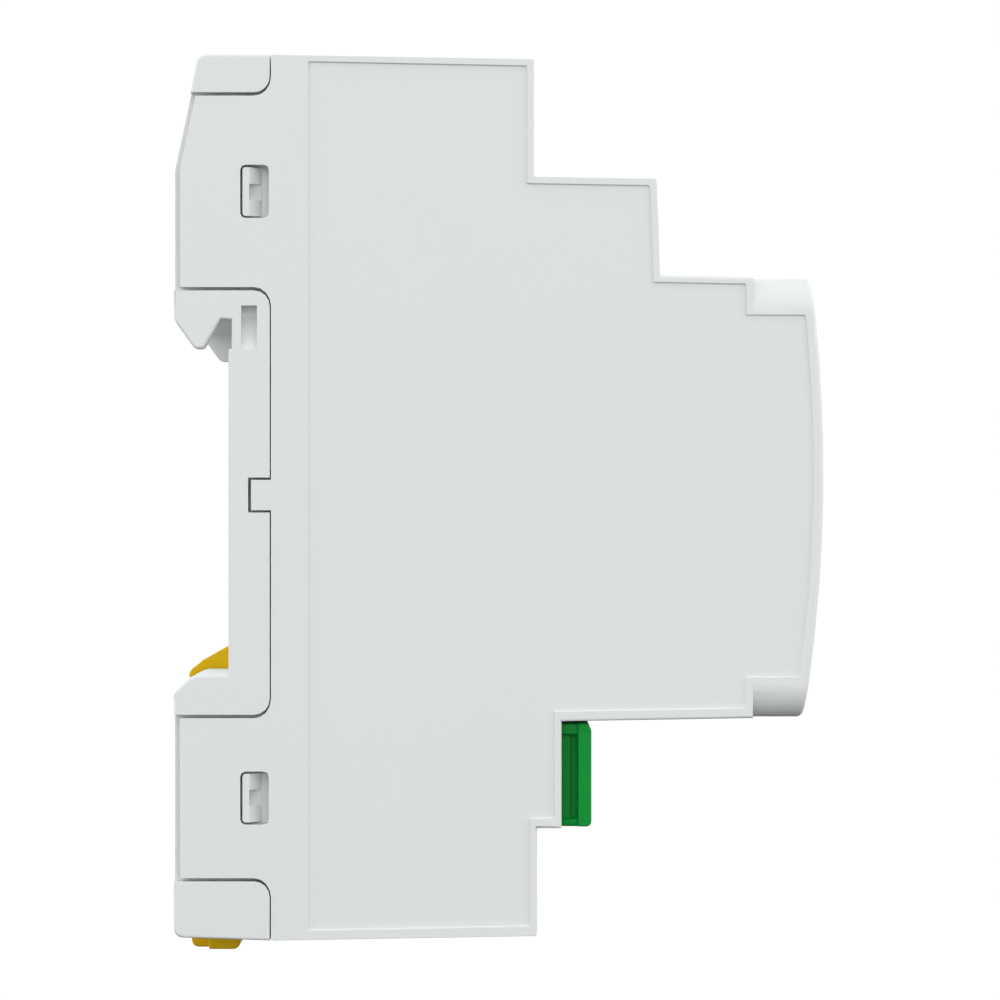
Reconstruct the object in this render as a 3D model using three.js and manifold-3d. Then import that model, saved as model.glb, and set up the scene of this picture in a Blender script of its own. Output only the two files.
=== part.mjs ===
// Digital time switch for a 35 mm mounting rail: a rear base that hooks on the rail, a front housing
// snapped over it, a clear flap over the display and buttons, and five spring terminals with openers.
//
// Units are millimetres. X points out of the wall, with 0 on the face that bears on the rail, Y runs along
// the rail and Z points up, with 0 at the middle of the rail.

import * as THREE from 'three';
import { ConvexGeometry } from 'three/addons/geometries/ConvexGeometry.js';
import { mergeVertices } from 'three/addons/utils/BufferGeometryUtils.js';
import Module from 'manifold-3d';

const wasm = await Module();
wasm.setup();

// ---------------------------------------------------------------- driving dimensions: the case
const WIDTH = 45;                 // along the rail, five 9 mm modules
const HEIGHT = 90;                // of the rear base and the back of the front housing
const BACK_DEPTH = 5.55;          // how far the base reaches behind the rail's face
const PARTING = 4.2;              // where the base ends and the front housing begins
const UPPER_STEP = 31.05;         // front of the topmost step
const LOWER_STEP = 31.36;         // front of the lowest step, where the wires go in
const UPPER_SHOULDER = 43.5;      // front of the step above the front block
const UPPER_SHOULDER_TOP = 32.6;  // its top, above the middle
const LOWER_SHOULDER = 33.85;     // front of the fins between the openers
const LOWER_SHOULDER_BOTTOM = 33.6; // their lower end, below the middle
const BLOCK_HEIGHT = 45;          // front block that passes through the cover of a switchboard
const NOSE_START = 53.3;          // where the block turns into the round-cornered nose
const FRONT = 60.5;               // foremost line of the curved front
const FRONT_RADIUS = 155;         // curve of the front, seen from the side
const FRONT_MIDDLE = 2.7;         // height of the foremost line
const NOSE_CORNER = 3.5;          // round corners of the nose, seen from the front
const NOSE_EDGE = 0.5;            // round edge all along the nose's front
const SHOULDER_CAMBER = 0.35;     // how much the upper shoulder leans forward towards the block
const DRAFT = 0.017;              // mould draft of the case, as a slope
const WALL = 1.8;                 // front housing wall
const SIDE_WALL = 1.6;            // its two side walls and their tongues
const PANEL_START = 8.1;          // rear edge of the sunk side panels
const PANEL_RIM = 0.7;            // rim left around them
const PANEL_DEPTH = 0.25;
const PANEL_RISE = 0.3;           // extra rim along the panel's level lower edges

// ---------------------------------------------------------------- driving dimensions: base and rail seat
const BASE_WALL = 1.6;
const HOOK_CEILING = 18.09;       // top of the rail notch
const SEAT_RELIEF = 0.32;         // step above the seat, under the hook
const SEAT_TOP = 15.09;           // upper end of the seat
const LEDGE = 18.05;              // bottom of the rail notch, below the middle
const LEDGE_SLOPE = 1.6;          // sloped rear edge of that ledge
const BASE_EDGE = 0.4;            // edge between the base's top and its leaning back
const HOOK_WIDTH = 3.2;           // each of the two hook teeth
const HOOK_TIP = 15.13;           // lower end of the teeth
const HOOK_LENGTH = 4.74;         // from the back to where the teeth's slanted front begins
const HOOK_EDGE = 0.7;            // sloped edge between the back and the hook
const POCKET_REAR = 1.3;          // blind pocket in each side, level with the teeth
const POCKET_LENGTH = 1.6;
const POCKET_TOP = 19.5;
const POCKET_TOE = 0.3;           // depth left at the foot of the ramp
const POCKET_DEPTH = 1.8;         // at its upper end; its floor ramps out towards the lower one
const POCKET_LEVEL = 1.1;         // level floor above the ramp
const FRAME_TOP = 21.2;           // upper edge of the base's middle band
const FRAME_BOTTOM = 22.25;       // its lower edge, below the middle
const UPPER_BAND = 3.85;          // height of the base's top corner band
const LOWER_BAND = 6.0;           // and of its bottom one
const BAND_CORNER = 1.6;          // round front corners of the bands
const SLANT_DROP = 11.6;          // the back leans forward over this height below the top
const SLANT = 0.215;              // slope of the leaning back
const HEEL = 0.9;                 // round lower rear corner
const HEEL_RISE = 0.3;            // the base's underside rises towards the rear
const TONGUE_SETBACK = 0.62;      // how far the tongues stay short of the base's back
const GROOVE_X = 0.12;            // joint between base and front housing, upright lines
const GROOVE_Z = 0.33;            // and level lines
const CATCH_LENGTH = 2.9;         // snap windows in the tongues
const CATCH_HEIGHT = 5.4;
const CATCH_MARGIN = 0.22;        // gap around the snap wedge
const CATCH_CORNER = 0.5;         // round corners of the windows
const CATCH_CREST = 0.7;          // level crest of the wedge, behind its two sloping ribs
const CATCH_SLOT = 1.6;           // slot between the ribs
const CATCH_TOE = 0.6;            // free length of the window in front of the wedge
const KEY_HEIGHT = 3.1;           // locating key of the front housing in the base's middle band
const KEY_LENGTH = 2.2;
const KEY_RISE = 0.25;            // its middle above the rail's middle

// ---------------------------------------------------------------- driving dimensions: rail latch
const LATCH_WIDTH = 7.4;
const LATCH_BACK = -5.0;          // rear face of the latch
const LATCH_FRONT = -1.4;         // front face
const CATCH_FACE = -1.1;          // face that holds the rail's lower edge
const LATCH_TOP = -15.65;         // tip of the catch at rest
const LATCH_FLANGE = 1.4;         // guide flange on each side
const LATCH_TRAVEL = 3.3;
const TAB_DROP = 2.5;             // pull tab below the base
const TAB_WIDTH = 12.4;
const TAB_CORNER = 0.7;           // round lower corners of the latch
const TAB_THICKNESS = 3.3;        // of the pull tab's wide part
const NOTCH_DEPTH = 0.6;          // grip notch in the latch's rear face, just above the tab
const NOTCH_HEIGHT = 0.8;
const SPRING_RADIUS = 1.25;       // mean radius of the latch spring
const SPRING_WIRE = 0.4;          // its wire diameter
const SPRING_TURNS = 6;
const SPRING_LENGTH = 9;

// ---------------------------------------------------------------- driving dimensions: terminals
const POLES = 5;
const FIN = 0.8;                  // fins between and beside the openers
const OPENER_REACH = 3.05;        // how far the openers stand out of the fins
const OPENER_TRAVEL = 2.0;
const OPENER_PLATE = 1.4;         // front plate of an opener
const OPENER_TOP_WALL = 1.2;      // upper and lower walls beside its hollowed sides
const OPENER_LOW_WALL = 0.8;
const OPENER_SINK = 1.4;          // how deep its sides are hollowed
const OPENER_STEP = 0.3;          // shallower step in each hollow, next to the case
const OPENER_STEP_LENGTH = 1.15;
const OPENER_CORNER = 0.5;        // round lower front corner of the head
const OPENER_CHAMFER = [0.3, 0.75]; // sloped upper front corner, forwards and down
const OPENER_DRAW = 0.5;          // the head behind its plate is narrower than the plate
const STEM_WIDTH = 4.6;
const STEM_MARGIN = 2.3;          // from the stem to the ends of the opener's bay
const FINGER_WIDTH = 1.2;         // finger between the two wires of a pole
const FINGER_THICKNESS = 1.6;
const FINGER_GAP = 0.45;          // between the finger and the wall in front of it
const FINGER_RISE = 3.2;          // the finger's nose above the busbar
const FINGER_NOSE = 1.4;          // height of that nose
const ENTRY_HEIGHT = 4.4;         // wire entries, two for each pole
const BUSBAR = 0.8;               // busbar thickness
const BUSBAR_RISE = 3.4;          // busbar's clamping face above the bottom of the case
const STRIP = 0.4;                // clamp spring strip thickness
const STRAP = 0.4;                // battery strap thickness
const LOOP = 1.3;                 // inside radius of the clamp spring's loop
const LOOP_RISE = 7.2;            // loop centre above the busbar
const LOOP_SETBACK = 6.1;         // loop centre behind the inside of the front wall
const LEG_REACH = 6.2;            // clamp leg, from loop to tip, measured rearwards
const TIP_RISE = 1.6;             // its middle line above the busbar at the tip

// ---------------------------------------------------------------- driving dimensions: display and boards
const FLAP_WIDTH = 37.4;
const FLAP_HEIGHT = 35;
const FLAP_THICKNESS = 1.4;
const HINGE_SETBACK = 1.3;        // hinge axis behind the flap's outer face
const HINGE_DROP = 1.2;           // hinge axis below the flap's upper edge
const KNUCKLE = 1.25;             // radius of the flap's hinge knuckles
const PIN = 0.7;                  // radius of the moulded hinge pins
const FASCIA_FRONT = 56.4;
const FASCIA_THICKNESS = 1.5;
const LEDGE_DEPTH = 1.6;          // ledge that the fascia rests on
const BOARD = 1.6;                // circuit board thickness
const BOARD_MARGIN = 0.4;         // between the boards' edges and the housing
const POST = 1.4;                 // radius of the posts that hold the display board
const POST_MARGIN = 2.2;          // from the posts' middles to the housing's walls
const PIN_WIDTH = 1.4;            // solder pins of the busbars
const DISPLAY_BOARD = 49.4;       // rear face of the display board
const POWER_BOARD = 7.0;          // rear face of the power board
const WINDOW_WIDTH = 29;          // clear window in the fascia
const WINDOW_HEIGHT = 12;
const WINDOW_MARGIN = 3.6;        // from the fascia's upper edge to the window
const LENS_SINK = 0.2;            // faces of the window below the fascia's faces
const RELAY = [15.7, -18.5, -5.8, -19, 10]; // length off the board, span along the rail and upwards
const FILM_CAPACITOR = [19, 8, 18, -16, 10.5];
const RECTIFIER = [3.4, -3.5, 3, -6, 2.5];
const LARGE_CAPACITOR = [5, 16, 12]; // radius, length off the board and place along the rail
const SMALL_CAPACITOR = [4, 11.5, 0];
const VARISTOR = [5, 5.6, -13.5, -9.5]; // radius, middle off the board, span along the rail
const RESISTOR = [2, 2.1, 5, -1, 10]; // radius, middle off the board, place along the rail, span upwards
const LCD_THICKNESS = 1.4;
const LCD_MARGIN = 1.6;           // how far the LCD reaches past the window on each side
const BUTTON_PITCH = 8.8;
const BUTTON_WIDTH = 6.6;
const BUTTON_HEIGHT = 4.8;
const BUTTON_MARGIN = 6.1;        // from the fascia's lower edge to the buttons
const BUTTON_STANDOUT = 0.9;
const BUTTON_TRAVEL = 0.6;

// ---------------------------------------------------------------- clearances
const RUN = 0.3;                  // between parts that move past each other
const OPENER_GAP = 0.25;          // between an opener and its fins
const SEAT = 0.1;                 // between parts seated on each other
const FIT = 0.3;                  // between a part and the opening that holds it
const KEY_GAP = 0.22;             // above and below the locating key
const LEG_GAP = 0.35;             // between an opener's nose and the clamp leg at rest

// ---------------------------------------------------------------- derived levels
const halfWidth = WIDTH / 2;
const top = HEIGHT / 2;
const back = -BACK_DEPTH;
const blockTop = BLOCK_HEIGHT / 2;
const housingRear = PARTING + GROOVE_X;
const cavityHalf = halfWidth - SIDE_WALL;
const baseHalf = cavityHalf - FIT;
const baseInside = baseHalf - BASE_WALL;
const slantStart = top - SLANT_DROP;
const polePitch = (WIDTH - FIN) / POLES;
const lowerWallInside = LOWER_STEP - WALL;
const busTop = -top + BUSBAR_RISE;
const loopX = lowerWallInside - LOOP_SETBACK;
const loopZ = busTop + LOOP_RISE;
const noseHalf = blockTop - 0.1;
const flapHalf = FLAP_WIDTH / 2;
const flapTop = FLAP_HEIGHT / 2;
const windowZ = flapTop - WINDOW_MARGIN - WINDOW_HEIGHT / 2;
const buttonZ = -flapTop + BUTTON_MARGIN + BUTTON_HEIGHT / 2;
const displayFront = DISPLAY_BOARD + BOARD;
const powerFront = POWER_BOARD + BOARD;
const fasciaRear = FASCIA_FRONT - FASCIA_THICKNESS;
const noseInside = fasciaRear - LEDGE_DEPTH;

// ---------------------------------------------------------------- outlines
const ARC_STEPS = 6;
const FRONT_STEPS = 8;            // of the curved front
const EDGE_STEPS = 3;             // of the nose's round edge

// Points on a round or oval stretch, between two angles in degrees.
function arc(centreA, centreB, radiusA, from, to, steps = ARC_STEPS, radiusB = radiusA) {
  const points = [];
  for (let i = 0; i <= steps; i++) {
    const angle = THREE.MathUtils.degToRad(from + (to - from) * i / steps);
    points.push([centreA + radiusA * Math.cos(angle), centreB + radiusB * Math.sin(angle)]);
  }
  return points;
}

function circle(centreA, centreB, radius, sides = 16) {
  return arc(centreA, centreB, radius, 0, 360 - 360 / sides, sides - 1);
}

function rectangle(lowA, highA, lowB, highB) {
  return [[lowA, lowB], [highA, lowB], [highA, highB], [lowA, highB]];
}

function roundRectangle(lowA, highA, lowB, highB, radius, steps = 3) {
  return [
    ...arc(lowA + radius, lowB + radius, radius, 180, 270, steps),
    ...arc(highA - radius, lowB + radius, radius, 270, 360, steps),
    ...arc(highA - radius, highB - radius, radius, 0, 90, steps),
    ...arc(lowA + radius, highB - radius, radius, 90, 180, steps),
  ];
}

// A counter-clockwise outline moved inwards, with its corners kept sharp.
function inset(points, distance) {
  const inward = (from, to) => {
    const length = Math.hypot(to[0] - from[0], to[1] - from[1]);
    return [(from[1] - to[1]) / length, (to[0] - from[0]) / length];
  };
  return points.map((point, i) => {
    const before = inward(points.at(i - 1), point);
    const after = inward(point, points[(i + 1) % points.length]);
    const share = distance / (1 + before[0] * after[0] + before[1] * after[1]);
    return [point[0] + (before[0] + after[0]) * share, point[1] + (before[1] + after[1]) * share];
  });
}

// Depth of the curved front at a height, and points along it from below upwards.
function frontAt(z) {
  return FRONT - FRONT_RADIUS + Math.sqrt(FRONT_RADIUS ** 2 - (z - FRONT_MIDDLE) ** 2);
}

function frontCurve(low, high, setback, steps = 8) {
  const points = [];
  for (let i = 0; i <= steps; i++) {
    const z = low + (high - low) * i / steps;
    points.push([frontAt(z) - setback, z]);
  }
  return points;
}

// Case heights, which fall slightly towards the front.
function caseTop(x) {
  return top - DRAFT * (x - PARTING);
}

function blockEdge(x) {
  return noseHalf + DRAFT * (NOSE_START - x);
}

// ---------------------------------------------------------------- solids
const unit = (x, y, z) => new THREE.Vector3(x, y, z);
const ALONG = {
  x: new THREE.Matrix4().makeBasis(unit(0, 1, 0), unit(0, 0, 1), unit(1, 0, 0)),  // outline in Y, Z
  y: new THREE.Matrix4().makeBasis(unit(1, 0, 0), unit(0, 0, 1), unit(0, -1, 0)), // outline in X, Z
  z: new THREE.Matrix4(),                                                         // outline in X, Y
};

function solidOf(geometry) {
  const bare = geometry.clone();
  bare.deleteAttribute('normal');
  bare.deleteAttribute('uv');
  const merged = mergeVertices(bare, 1e-4);
  return new wasm.Manifold(new wasm.Mesh({
    numProp: 3,
    vertProperties: Float32Array.from(merged.attributes.position.array),
    triVerts: Uint32Array.from(merged.index.array),
  }));
}

function geometryOf(solid) {
  const mesh = solid.getMesh();
  const geometry = new THREE.BufferGeometry();
  geometry.setAttribute('position', new THREE.BufferAttribute(mesh.vertProperties, 3));
  geometry.setIndex(new THREE.BufferAttribute(mesh.triVerts, 1));
  geometry.computeVertexNormals();
  return geometry;
}

// An outline swept from one level to another along X, Y or Z.
function sweep(outline, along, low, high) {
  const shape = new THREE.Shape(outline.map(([a, b]) => new THREE.Vector2(a, b)));
  const geometry = new THREE.ExtrudeGeometry(shape, { depth: high - low, bevelEnabled: false });
  geometry.applyMatrix4(ALONG[along]);
  const start = along === 'y' ? high : low;
  geometry.translate(...['x', 'y', 'z'].map((axis) => (axis === along ? start : 0)));
  return solidOf(geometry);
}

function block(lowX, highX, lowY, highY, lowZ, highZ) {
  return sweep(rectangle(lowX, highX, lowY, highY), 'z', lowZ, highZ);
}

function join(...solids) {
  return solids.reduce((whole, next) => whole.add(next));
}

function cut(solid, ...tools) {
  return tools.reduce((rest, tool) => rest.subtract(tool), solid);
}

// ---------------------------------------------------------------- materials
function finish(color, roughness, metalness = 0, opacity = 1) {
  const transparent = opacity < 1;
  return new THREE.MeshStandardMaterial({ color, roughness, metalness, opacity, transparent });
}

const casePlastic = () => finish(0xdbdfde, 0.45);
const latchPlastic = () => finish(0xcba20a, 0.4);
const openerPlastic = () => finish(0x158a39, 0.35);
const clearPlastic = () => finish(0xdfe6ea, 0.1, 0, 0.35);
const darkPlastic = () => finish(0x24272b, 0.5);
const greyPlastic = () => finish(0x9aa0a3, 0.5);
const boardLaminate = () => finish(0x1f5b3a, 0.6);
const springSteel = () => finish(0xb9bcc0, 0.3, 1);
const tinnedCopper = () => finish(0xc8c2b4, 0.35, 1);

const parts = [];

function part(name, solid, material) {
  const mesh = new THREE.Mesh(geometryOf(solid), material);
  mesh.name = name;
  parts.push(mesh);
}

// Both sides of the case: -1 and 1.
const SIDES = [-1, 1];

// A sweep along Y between two distances from the middle plane, on one side of it.
function sideSweep(outline, side, inner, outer) {
  return side > 0 ? sweep(outline, 'y', inner, outer) : sweep(outline, 'y', -outer, -inner);
}

// ---------------------------------------------------------------- tongues of the housing in the base
const TONGUES = [
  { low: FRAME_TOP - GROOVE_Z / 2, high: top - UPPER_BAND },
  { low: -top + LOWER_BAND, high: -FRAME_BOTTOM + GROOVE_Z / 2 },
];

function backAt(z) {
  return back + Math.max(0, z - slantStart) * SLANT;
}

// Side outline of a tongue's bed in the base, or of the tongue itself when it is drawn in by the grooves.
function tongueOutline({ low, high }, setback, grooveX, grooveZ) {
  const lowZ = low + grooveZ;
  const highZ = high - grooveZ;
  const flareX = BAND_CORNER + grooveX;
  const flareZ = BAND_CORNER + grooveZ;
  const centre = PARTING - BAND_CORNER;
  const bend = high > slantStart ? [[back + setback, slantStart]] : [];
  return [
    [back + setback, lowZ],
    ...arc(centre, low - BAND_CORNER, flareX, 90, 0, 4, flareZ),
    [housingRear + WALL, low - BAND_CORNER],
    [housingRear + WALL, high + BAND_CORNER],
    ...arc(centre, high + BAND_CORNER, flareX, 360, 270, 4, flareZ),
    [backAt(highZ) + setback, highZ],
    ...bend,
  ];
}

function catchWindow({ low, high }, margin) {
  const middle = (low + high) / 2;
  const half = CATCH_HEIGHT / 2 - margin;
  return [PARTING - CATCH_LENGTH + margin - 0.1, PARTING - 0.1 - margin, middle - half, middle + half];
}

// Side outline of the locating key, or of its keyway when it is grown by the gap.
function keyOutline(shorter, grow) {
  const half = KEY_HEIGHT / 2 + grow;
  return rectangle(PARTING - KEY_LENGTH + shorter, housingRear + 1, KEY_RISE - half, KEY_RISE + half);
}

// ---------------------------------------------------------------- front housing
function housingOutline() {
  return [
    [housingRear, -caseTop(housingRear)],
    [LOWER_STEP, -caseTop(LOWER_STEP)],
    [LOWER_STEP, -LOWER_SHOULDER_BOTTOM],
    [LOWER_SHOULDER, -LOWER_SHOULDER_BOTTOM],
    [LOWER_SHOULDER, -blockEdge(LOWER_SHOULDER)],
    [NOSE_START, -blockEdge(NOSE_START)],
    [NOSE_START, blockEdge(NOSE_START)],
    [UPPER_SHOULDER + SHOULDER_CAMBER, blockEdge(UPPER_SHOULDER)],
    [UPPER_SHOULDER + SHOULDER_CAMBER * 0.6, (blockTop + UPPER_SHOULDER_TOP) / 2],
    [UPPER_SHOULDER, UPPER_SHOULDER_TOP - DRAFT * (UPPER_SHOULDER - UPPER_STEP)],
    [UPPER_STEP, UPPER_SHOULDER_TOP],
    [UPPER_STEP, caseTop(UPPER_STEP)],
    [housingRear, caseTop(housingRear)],
  ];
}

// The same outline with the flat side of the nose, from which the sunk side panel keeps a rim.
function panelOutline() {
  const flatHalf = noseHalf - NOSE_CORNER + PANEL_RIM / 2;
  const outline = housingOutline();
  const front = outline.findIndex(([x, z]) => x === NOSE_START && z < 0);
  const rim = [
    [PANEL_START - PANEL_RIM, outline[0][1]],
    ...outline.slice(1, front + 1),
    [NOSE_START, -flatHalf],
    ...frontCurve(-flatHalf, flatHalf, PANEL_RIM / 2),
    [NOSE_START, flatHalf],
    ...outline.slice(front + 1, -1),
    [PANEL_START - PANEL_RIM, outline.at(-1)[1]],
  ];
  return inset(rim, PANEL_RIM).map(([x, z]) => [x, z < PANEL_RIM - flatHalf + 0.01 ? z + PANEL_RISE : z]);
}

// Points around the nose at one step of its round edge, drawn in sideways and set back from the front.
function noseRing(drawnIn, depthAt) {
  const half = halfWidth - drawnIn;
  const rise = noseHalf - drawnIn;
  const straight = noseHalf - NOSE_CORNER;
  const outline = roundRectangle(-half, half, -rise, rise, NOSE_CORNER - drawnIn, ARC_STEPS);
  for (let i = 1; i < FRONT_STEPS; i++) {
    const z = straight * (2 * i / FRONT_STEPS - 1);
    outline.push([-half, z], [half, z]);
  }
  return outline.map(([y, z]) => new THREE.Vector3(depthAt(z), y, z));
}

// Front of the block: round corners, a front curved from top to bottom, and a round edge between them.
function noseSolid() {
  const points = noseRing(0, () => NOSE_START - WALL / 2);
  for (let step = 0; step <= EDGE_STEPS; step++) {
    const angle = Math.PI / 2 * step / EDGE_STEPS;
    const setback = NOSE_EDGE * (1 - Math.sin(angle));
    points.push(...noseRing(NOSE_EDGE * (1 - Math.cos(angle)), (z) => frontAt(z) - setback));
  }
  return solidOf(new ConvexGeometry(points));
}

function housingCavity() {
  const inner = [
    [housingRear - 1, -top + WALL],
    [lowerWallInside, -caseTop(LOWER_STEP) + WALL],
    [lowerWallInside, -blockEdge(LOWER_SHOULDER) + WALL],
    [noseInside, -noseHalf + WALL],
    [noseInside, noseHalf - WALL],
    [UPPER_SHOULDER - WALL, noseHalf - WALL],
    [UPPER_SHOULDER - WALL, UPPER_SHOULDER_TOP - WALL],
    [UPPER_STEP - WALL, UPPER_SHOULDER_TOP - WALL],
    [UPPER_STEP - WALL, caseTop(UPPER_STEP) - WALL],
    [housingRear - 1, top - WALL],
  ];
  return sweep(inner, 'y', -cavityHalf, cavityHalf);
}

const hingeZ = flapTop - HINGE_DROP;
const hingeX = frontAt(hingeZ) - HINGE_SETBACK;

// The opening behind the flap, the ledge's inner opening, the hinge relief and a scoop for a fingernail.
function flapOpening() {
  const half = flapHalf + RUN;
  const reach = flapTop + RUN;
  const ledge = LEDGE_DEPTH;
  const sweepRadius = Math.hypot(HINGE_SETBACK, HINGE_DROP) + RUN;
  const scoopRadius = 7.5;
  return join(
    block(fasciaRear - SEAT, FRONT + 1, -half, half, -reach, reach),
    block(noseInside - 1, fasciaRear, -half + ledge, half - ledge, -reach + ledge, reach - ledge),
    sweep(circle(hingeX, hingeZ, sweepRadius, 24), 'y', -half, half),
    sweep(circle(hingeX, hingeZ, PIN + 0.25, 12), 'y', -half - PIN * 2, half + PIN * 2),
    sweep(circle(0, -reach + scoopRadius - 2.4, scoopRadius, 24), 'x', frontAt(-reach) - 1.9, FRONT + 1),
  );
}

// Everything that is cut for one pole: the opener's bay, its stem slot and two wire entries.
const underside = -blockEdge(LOWER_SHOULDER);
const openerTop = underside - OPENER_GAP;
const openerBottom = -LOWER_SHOULDER_BOTTOM + SEAT;
const stemTop = underside - STEM_MARGIN;
const stemBottom = -LOWER_SHOULDER_BOTTOM + STEM_MARGIN;
const entryZ = busTop + ENTRY_HEIGHT / 2 + 0.5;
const poleRoom = cavityHalf - (POLES - 1) / 2 * polePitch;
const entryWidth = poleRoom - FINGER_WIDTH / 2;
const entryOffset = (poleRoom + FINGER_WIDTH / 2 - SEAT) / 2;

function poleY(index) {
  return (index - (POLES - 1) / 2) * polePitch;
}

function poleCuts(index) {
  const y = poleY(index);
  const bay = (polePitch - FIN) / 2;
  const stem = STEM_WIDTH / 2 + RUN;
  const cuts = [
    block(LOWER_STEP, LOWER_SHOULDER + 1, y - bay, y + bay, -LOWER_SHOULDER_BOTTOM - 1, underside),
    block(lowerWallInside - 1, LOWER_STEP + 1, y - stem, y + stem, stemBottom - RUN, stemTop + RUN),
  ];
  for (const side of SIDES) {
    const middle = y + side * entryOffset;
    const half = entryWidth / 2 - SEAT;
    const low = entryZ - ENTRY_HEIGHT / 2;
    const high = entryZ + ENTRY_HEIGHT / 2;
    cuts.push(block(lowerWallInside - 1, LOWER_STEP + 1, middle - half, middle + half, low, high));
    cuts.push(entryFunnel(middle, half, low, high));
  }
  return cuts;
}

// A wire entry widens over the outer part of the wall, more above the wire than beside it.
function entryFunnel(middle, half, low, high) {
  const lead = 0.8;
  const side = 0.15;
  const funnel = [
    [LOWER_STEP - lead, low],
    [LOWER_STEP, low - lead / 2],
    [LOWER_STEP + 1, low - lead / 2],
    [LOWER_STEP + 1, high + lead],
    [LOWER_STEP, high + lead],
    [LOWER_STEP - lead, high],
  ];
  return sweep(funnel, 'y', middle - half - side, middle + half + side);
}

function frontHousing() {
  const shell = join(sweep(housingOutline(), 'y', -halfWidth, halfWidth), noseSolid());
  let solid = cut(shell, housingCavity(), flapOpening());
  for (const side of SIDES) {
    for (const tongue of TONGUES) {
      const outline = tongueOutline(tongue, TONGUE_SETBACK, GROOVE_X, GROOVE_Z);
      const window = roundRectangle(...catchWindow(tongue, 0), CATCH_CORNER, 2);
      solid = solid.add(sideSweep(outline, side, cavityHalf, halfWidth));
      solid = solid.subtract(sideSweep(window, side, cavityHalf - 1, halfWidth + 1));
    }
    solid = solid.add(sideSweep(keyOutline(FIT, 0), side, cavityHalf, halfWidth));
    solid = solid.subtract(sideSweep(panelOutline(), side, halfWidth - PANEL_DEPTH, halfWidth + 1));
    for (const level of SIDES) {
      const postY = side * (cavityHalf - POST_MARGIN);
      const post = circle(postY, level * (noseHalf - WALL - POST_MARGIN), POST, 10);
      solid = solid.add(sweep(post, 'x', displayFront + FIT, noseInside + 0.5));
    }
  }
  for (let index = 0; index < POLES; index++) {
    solid = cut(solid, ...poleCuts(index));
  }
  part('front_housing', solid, casePlastic());
}

// ---------------------------------------------------------------- rear base
function baseOutline() {
  const heel = -top + HEEL_RISE;
  return [
    ...arc(back + HEEL, heel + HEEL, HEEL, 180, 270, 4),
    [PARTING, -top],
    [PARTING, top],
    [backAt(top) + BASE_EDGE, top],
    [backAt(top - BASE_EDGE), top - BASE_EDGE],
    [back, slantStart],
    [back, HOOK_CEILING + HOOK_EDGE],
    [back + HOOK_EDGE, HOOK_CEILING],
    [SEAT_RELIEF, HOOK_CEILING],
    [SEAT_RELIEF, SEAT_TOP],
    [0, SEAT_TOP],
    [0, -LEDGE],
    [back + LEDGE_SLOPE + 0.8, -LEDGE],
    [back + LEDGE_SLOPE, -LEDGE - 0.25],
    [back, -LEDGE - LEDGE_SLOPE - 0.2],
  ];
}

function baseCavity() {
  const inner = [
    [back + BASE_WALL, -top + BASE_WALL + HEEL_RISE],
    [POWER_BOARD + 1, -top + BASE_WALL + HEEL_RISE],
    [POWER_BOARD + 1, top - BASE_WALL],
    [backAt(top) + BASE_WALL, top - BASE_WALL],
    [back + BASE_WALL, slantStart],
    [back + BASE_WALL, HOOK_CEILING + BASE_WALL],
    [SEAT_RELIEF + BASE_WALL, HOOK_CEILING + BASE_WALL],
    [SEAT_RELIEF + BASE_WALL, -LEDGE - BASE_WALL],
    [back + 3, -LEDGE - BASE_WALL],
    [back + BASE_WALL, -LEDGE - BASE_WALL - 1],
  ];
  return sweep(inner, 'y', -baseInside, baseInside);
}

function hookTooth(side) {
  const profile = [
    [back, HOOK_CEILING + HOOK_EDGE],
    [back + 0.1, HOOK_CEILING - 0.15],
    [back + HOOK_LENGTH - 2.63, HOOK_TIP],
    [back + HOOK_LENGTH - 1.77, HOOK_TIP],
    [back + HOOK_LENGTH, HOOK_CEILING],
    [back + HOOK_LENGTH, HOOK_CEILING + HOOK_EDGE],
  ];
  return sideSweep(profile, side, halfWidth - HOOK_WIDTH, halfWidth);
}

// The wedge that a tongue's window snaps over: a level crest at the rear, then two ribs that slope down
// towards the front, with a slot between them.
function snapWedge(tongue, side) {
  const [rear, windowFront, low, high] = catchWindow(tongue, CATCH_MARGIN);
  const front = windowFront - CATCH_TOE;
  const middle = (low + high) / 2;
  const crest = side * (halfWidth - FIT / 2);
  const foot = side * (baseHalf - SEAT);
  const toe = side * (baseHalf + SEAT);
  const slope = [[rear, foot], [front, foot], [front, toe], [rear + CATCH_CREST, crest], [rear, crest]];
  const outline = roundRectangle(rear, front + 1, low, high, CATCH_CORNER - CATCH_MARGIN, 2);
  const slot = rectangle(rear + CATCH_CREST, front + 1, middle - CATCH_SLOT / 2, middle + CATCH_SLOT / 2);
  const wedge = sweep(slope, 'z', low, high).intersect(sideSweep(outline, side, baseHalf - 1, halfWidth));
  return wedge.subtract(sideSweep(slot, side, baseHalf + SEAT, halfWidth));
}

// Blind pocket in each side, level with the teeth. Its floor ramps out to the side face at the lower end.
function sidePocket(side) {
  const rampTop = POCKET_TOP - POCKET_LEVEL;
  const front = POCKET_REAR + POCKET_LENGTH;
  const outline = rectangle(POCKET_REAR, front, HOOK_TIP, POCKET_TOP);
  const floor = side * (halfWidth - POCKET_DEPTH);
  const ramp = [
    [floor - side, HOOK_TIP - 1],
    [floor - side, rampTop],
    [floor, rampTop],
    [side * (halfWidth - POCKET_TOE), HOOK_TIP],
    [side * (halfWidth - POCKET_TOE), HOOK_TIP - 1],
  ];
  const recess = sideSweep(outline, side, halfWidth - POCKET_DEPTH, halfWidth + 1);
  return recess.subtract(sweep(ramp, 'x', POCKET_REAR - 1, front + 1));
}

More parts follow.
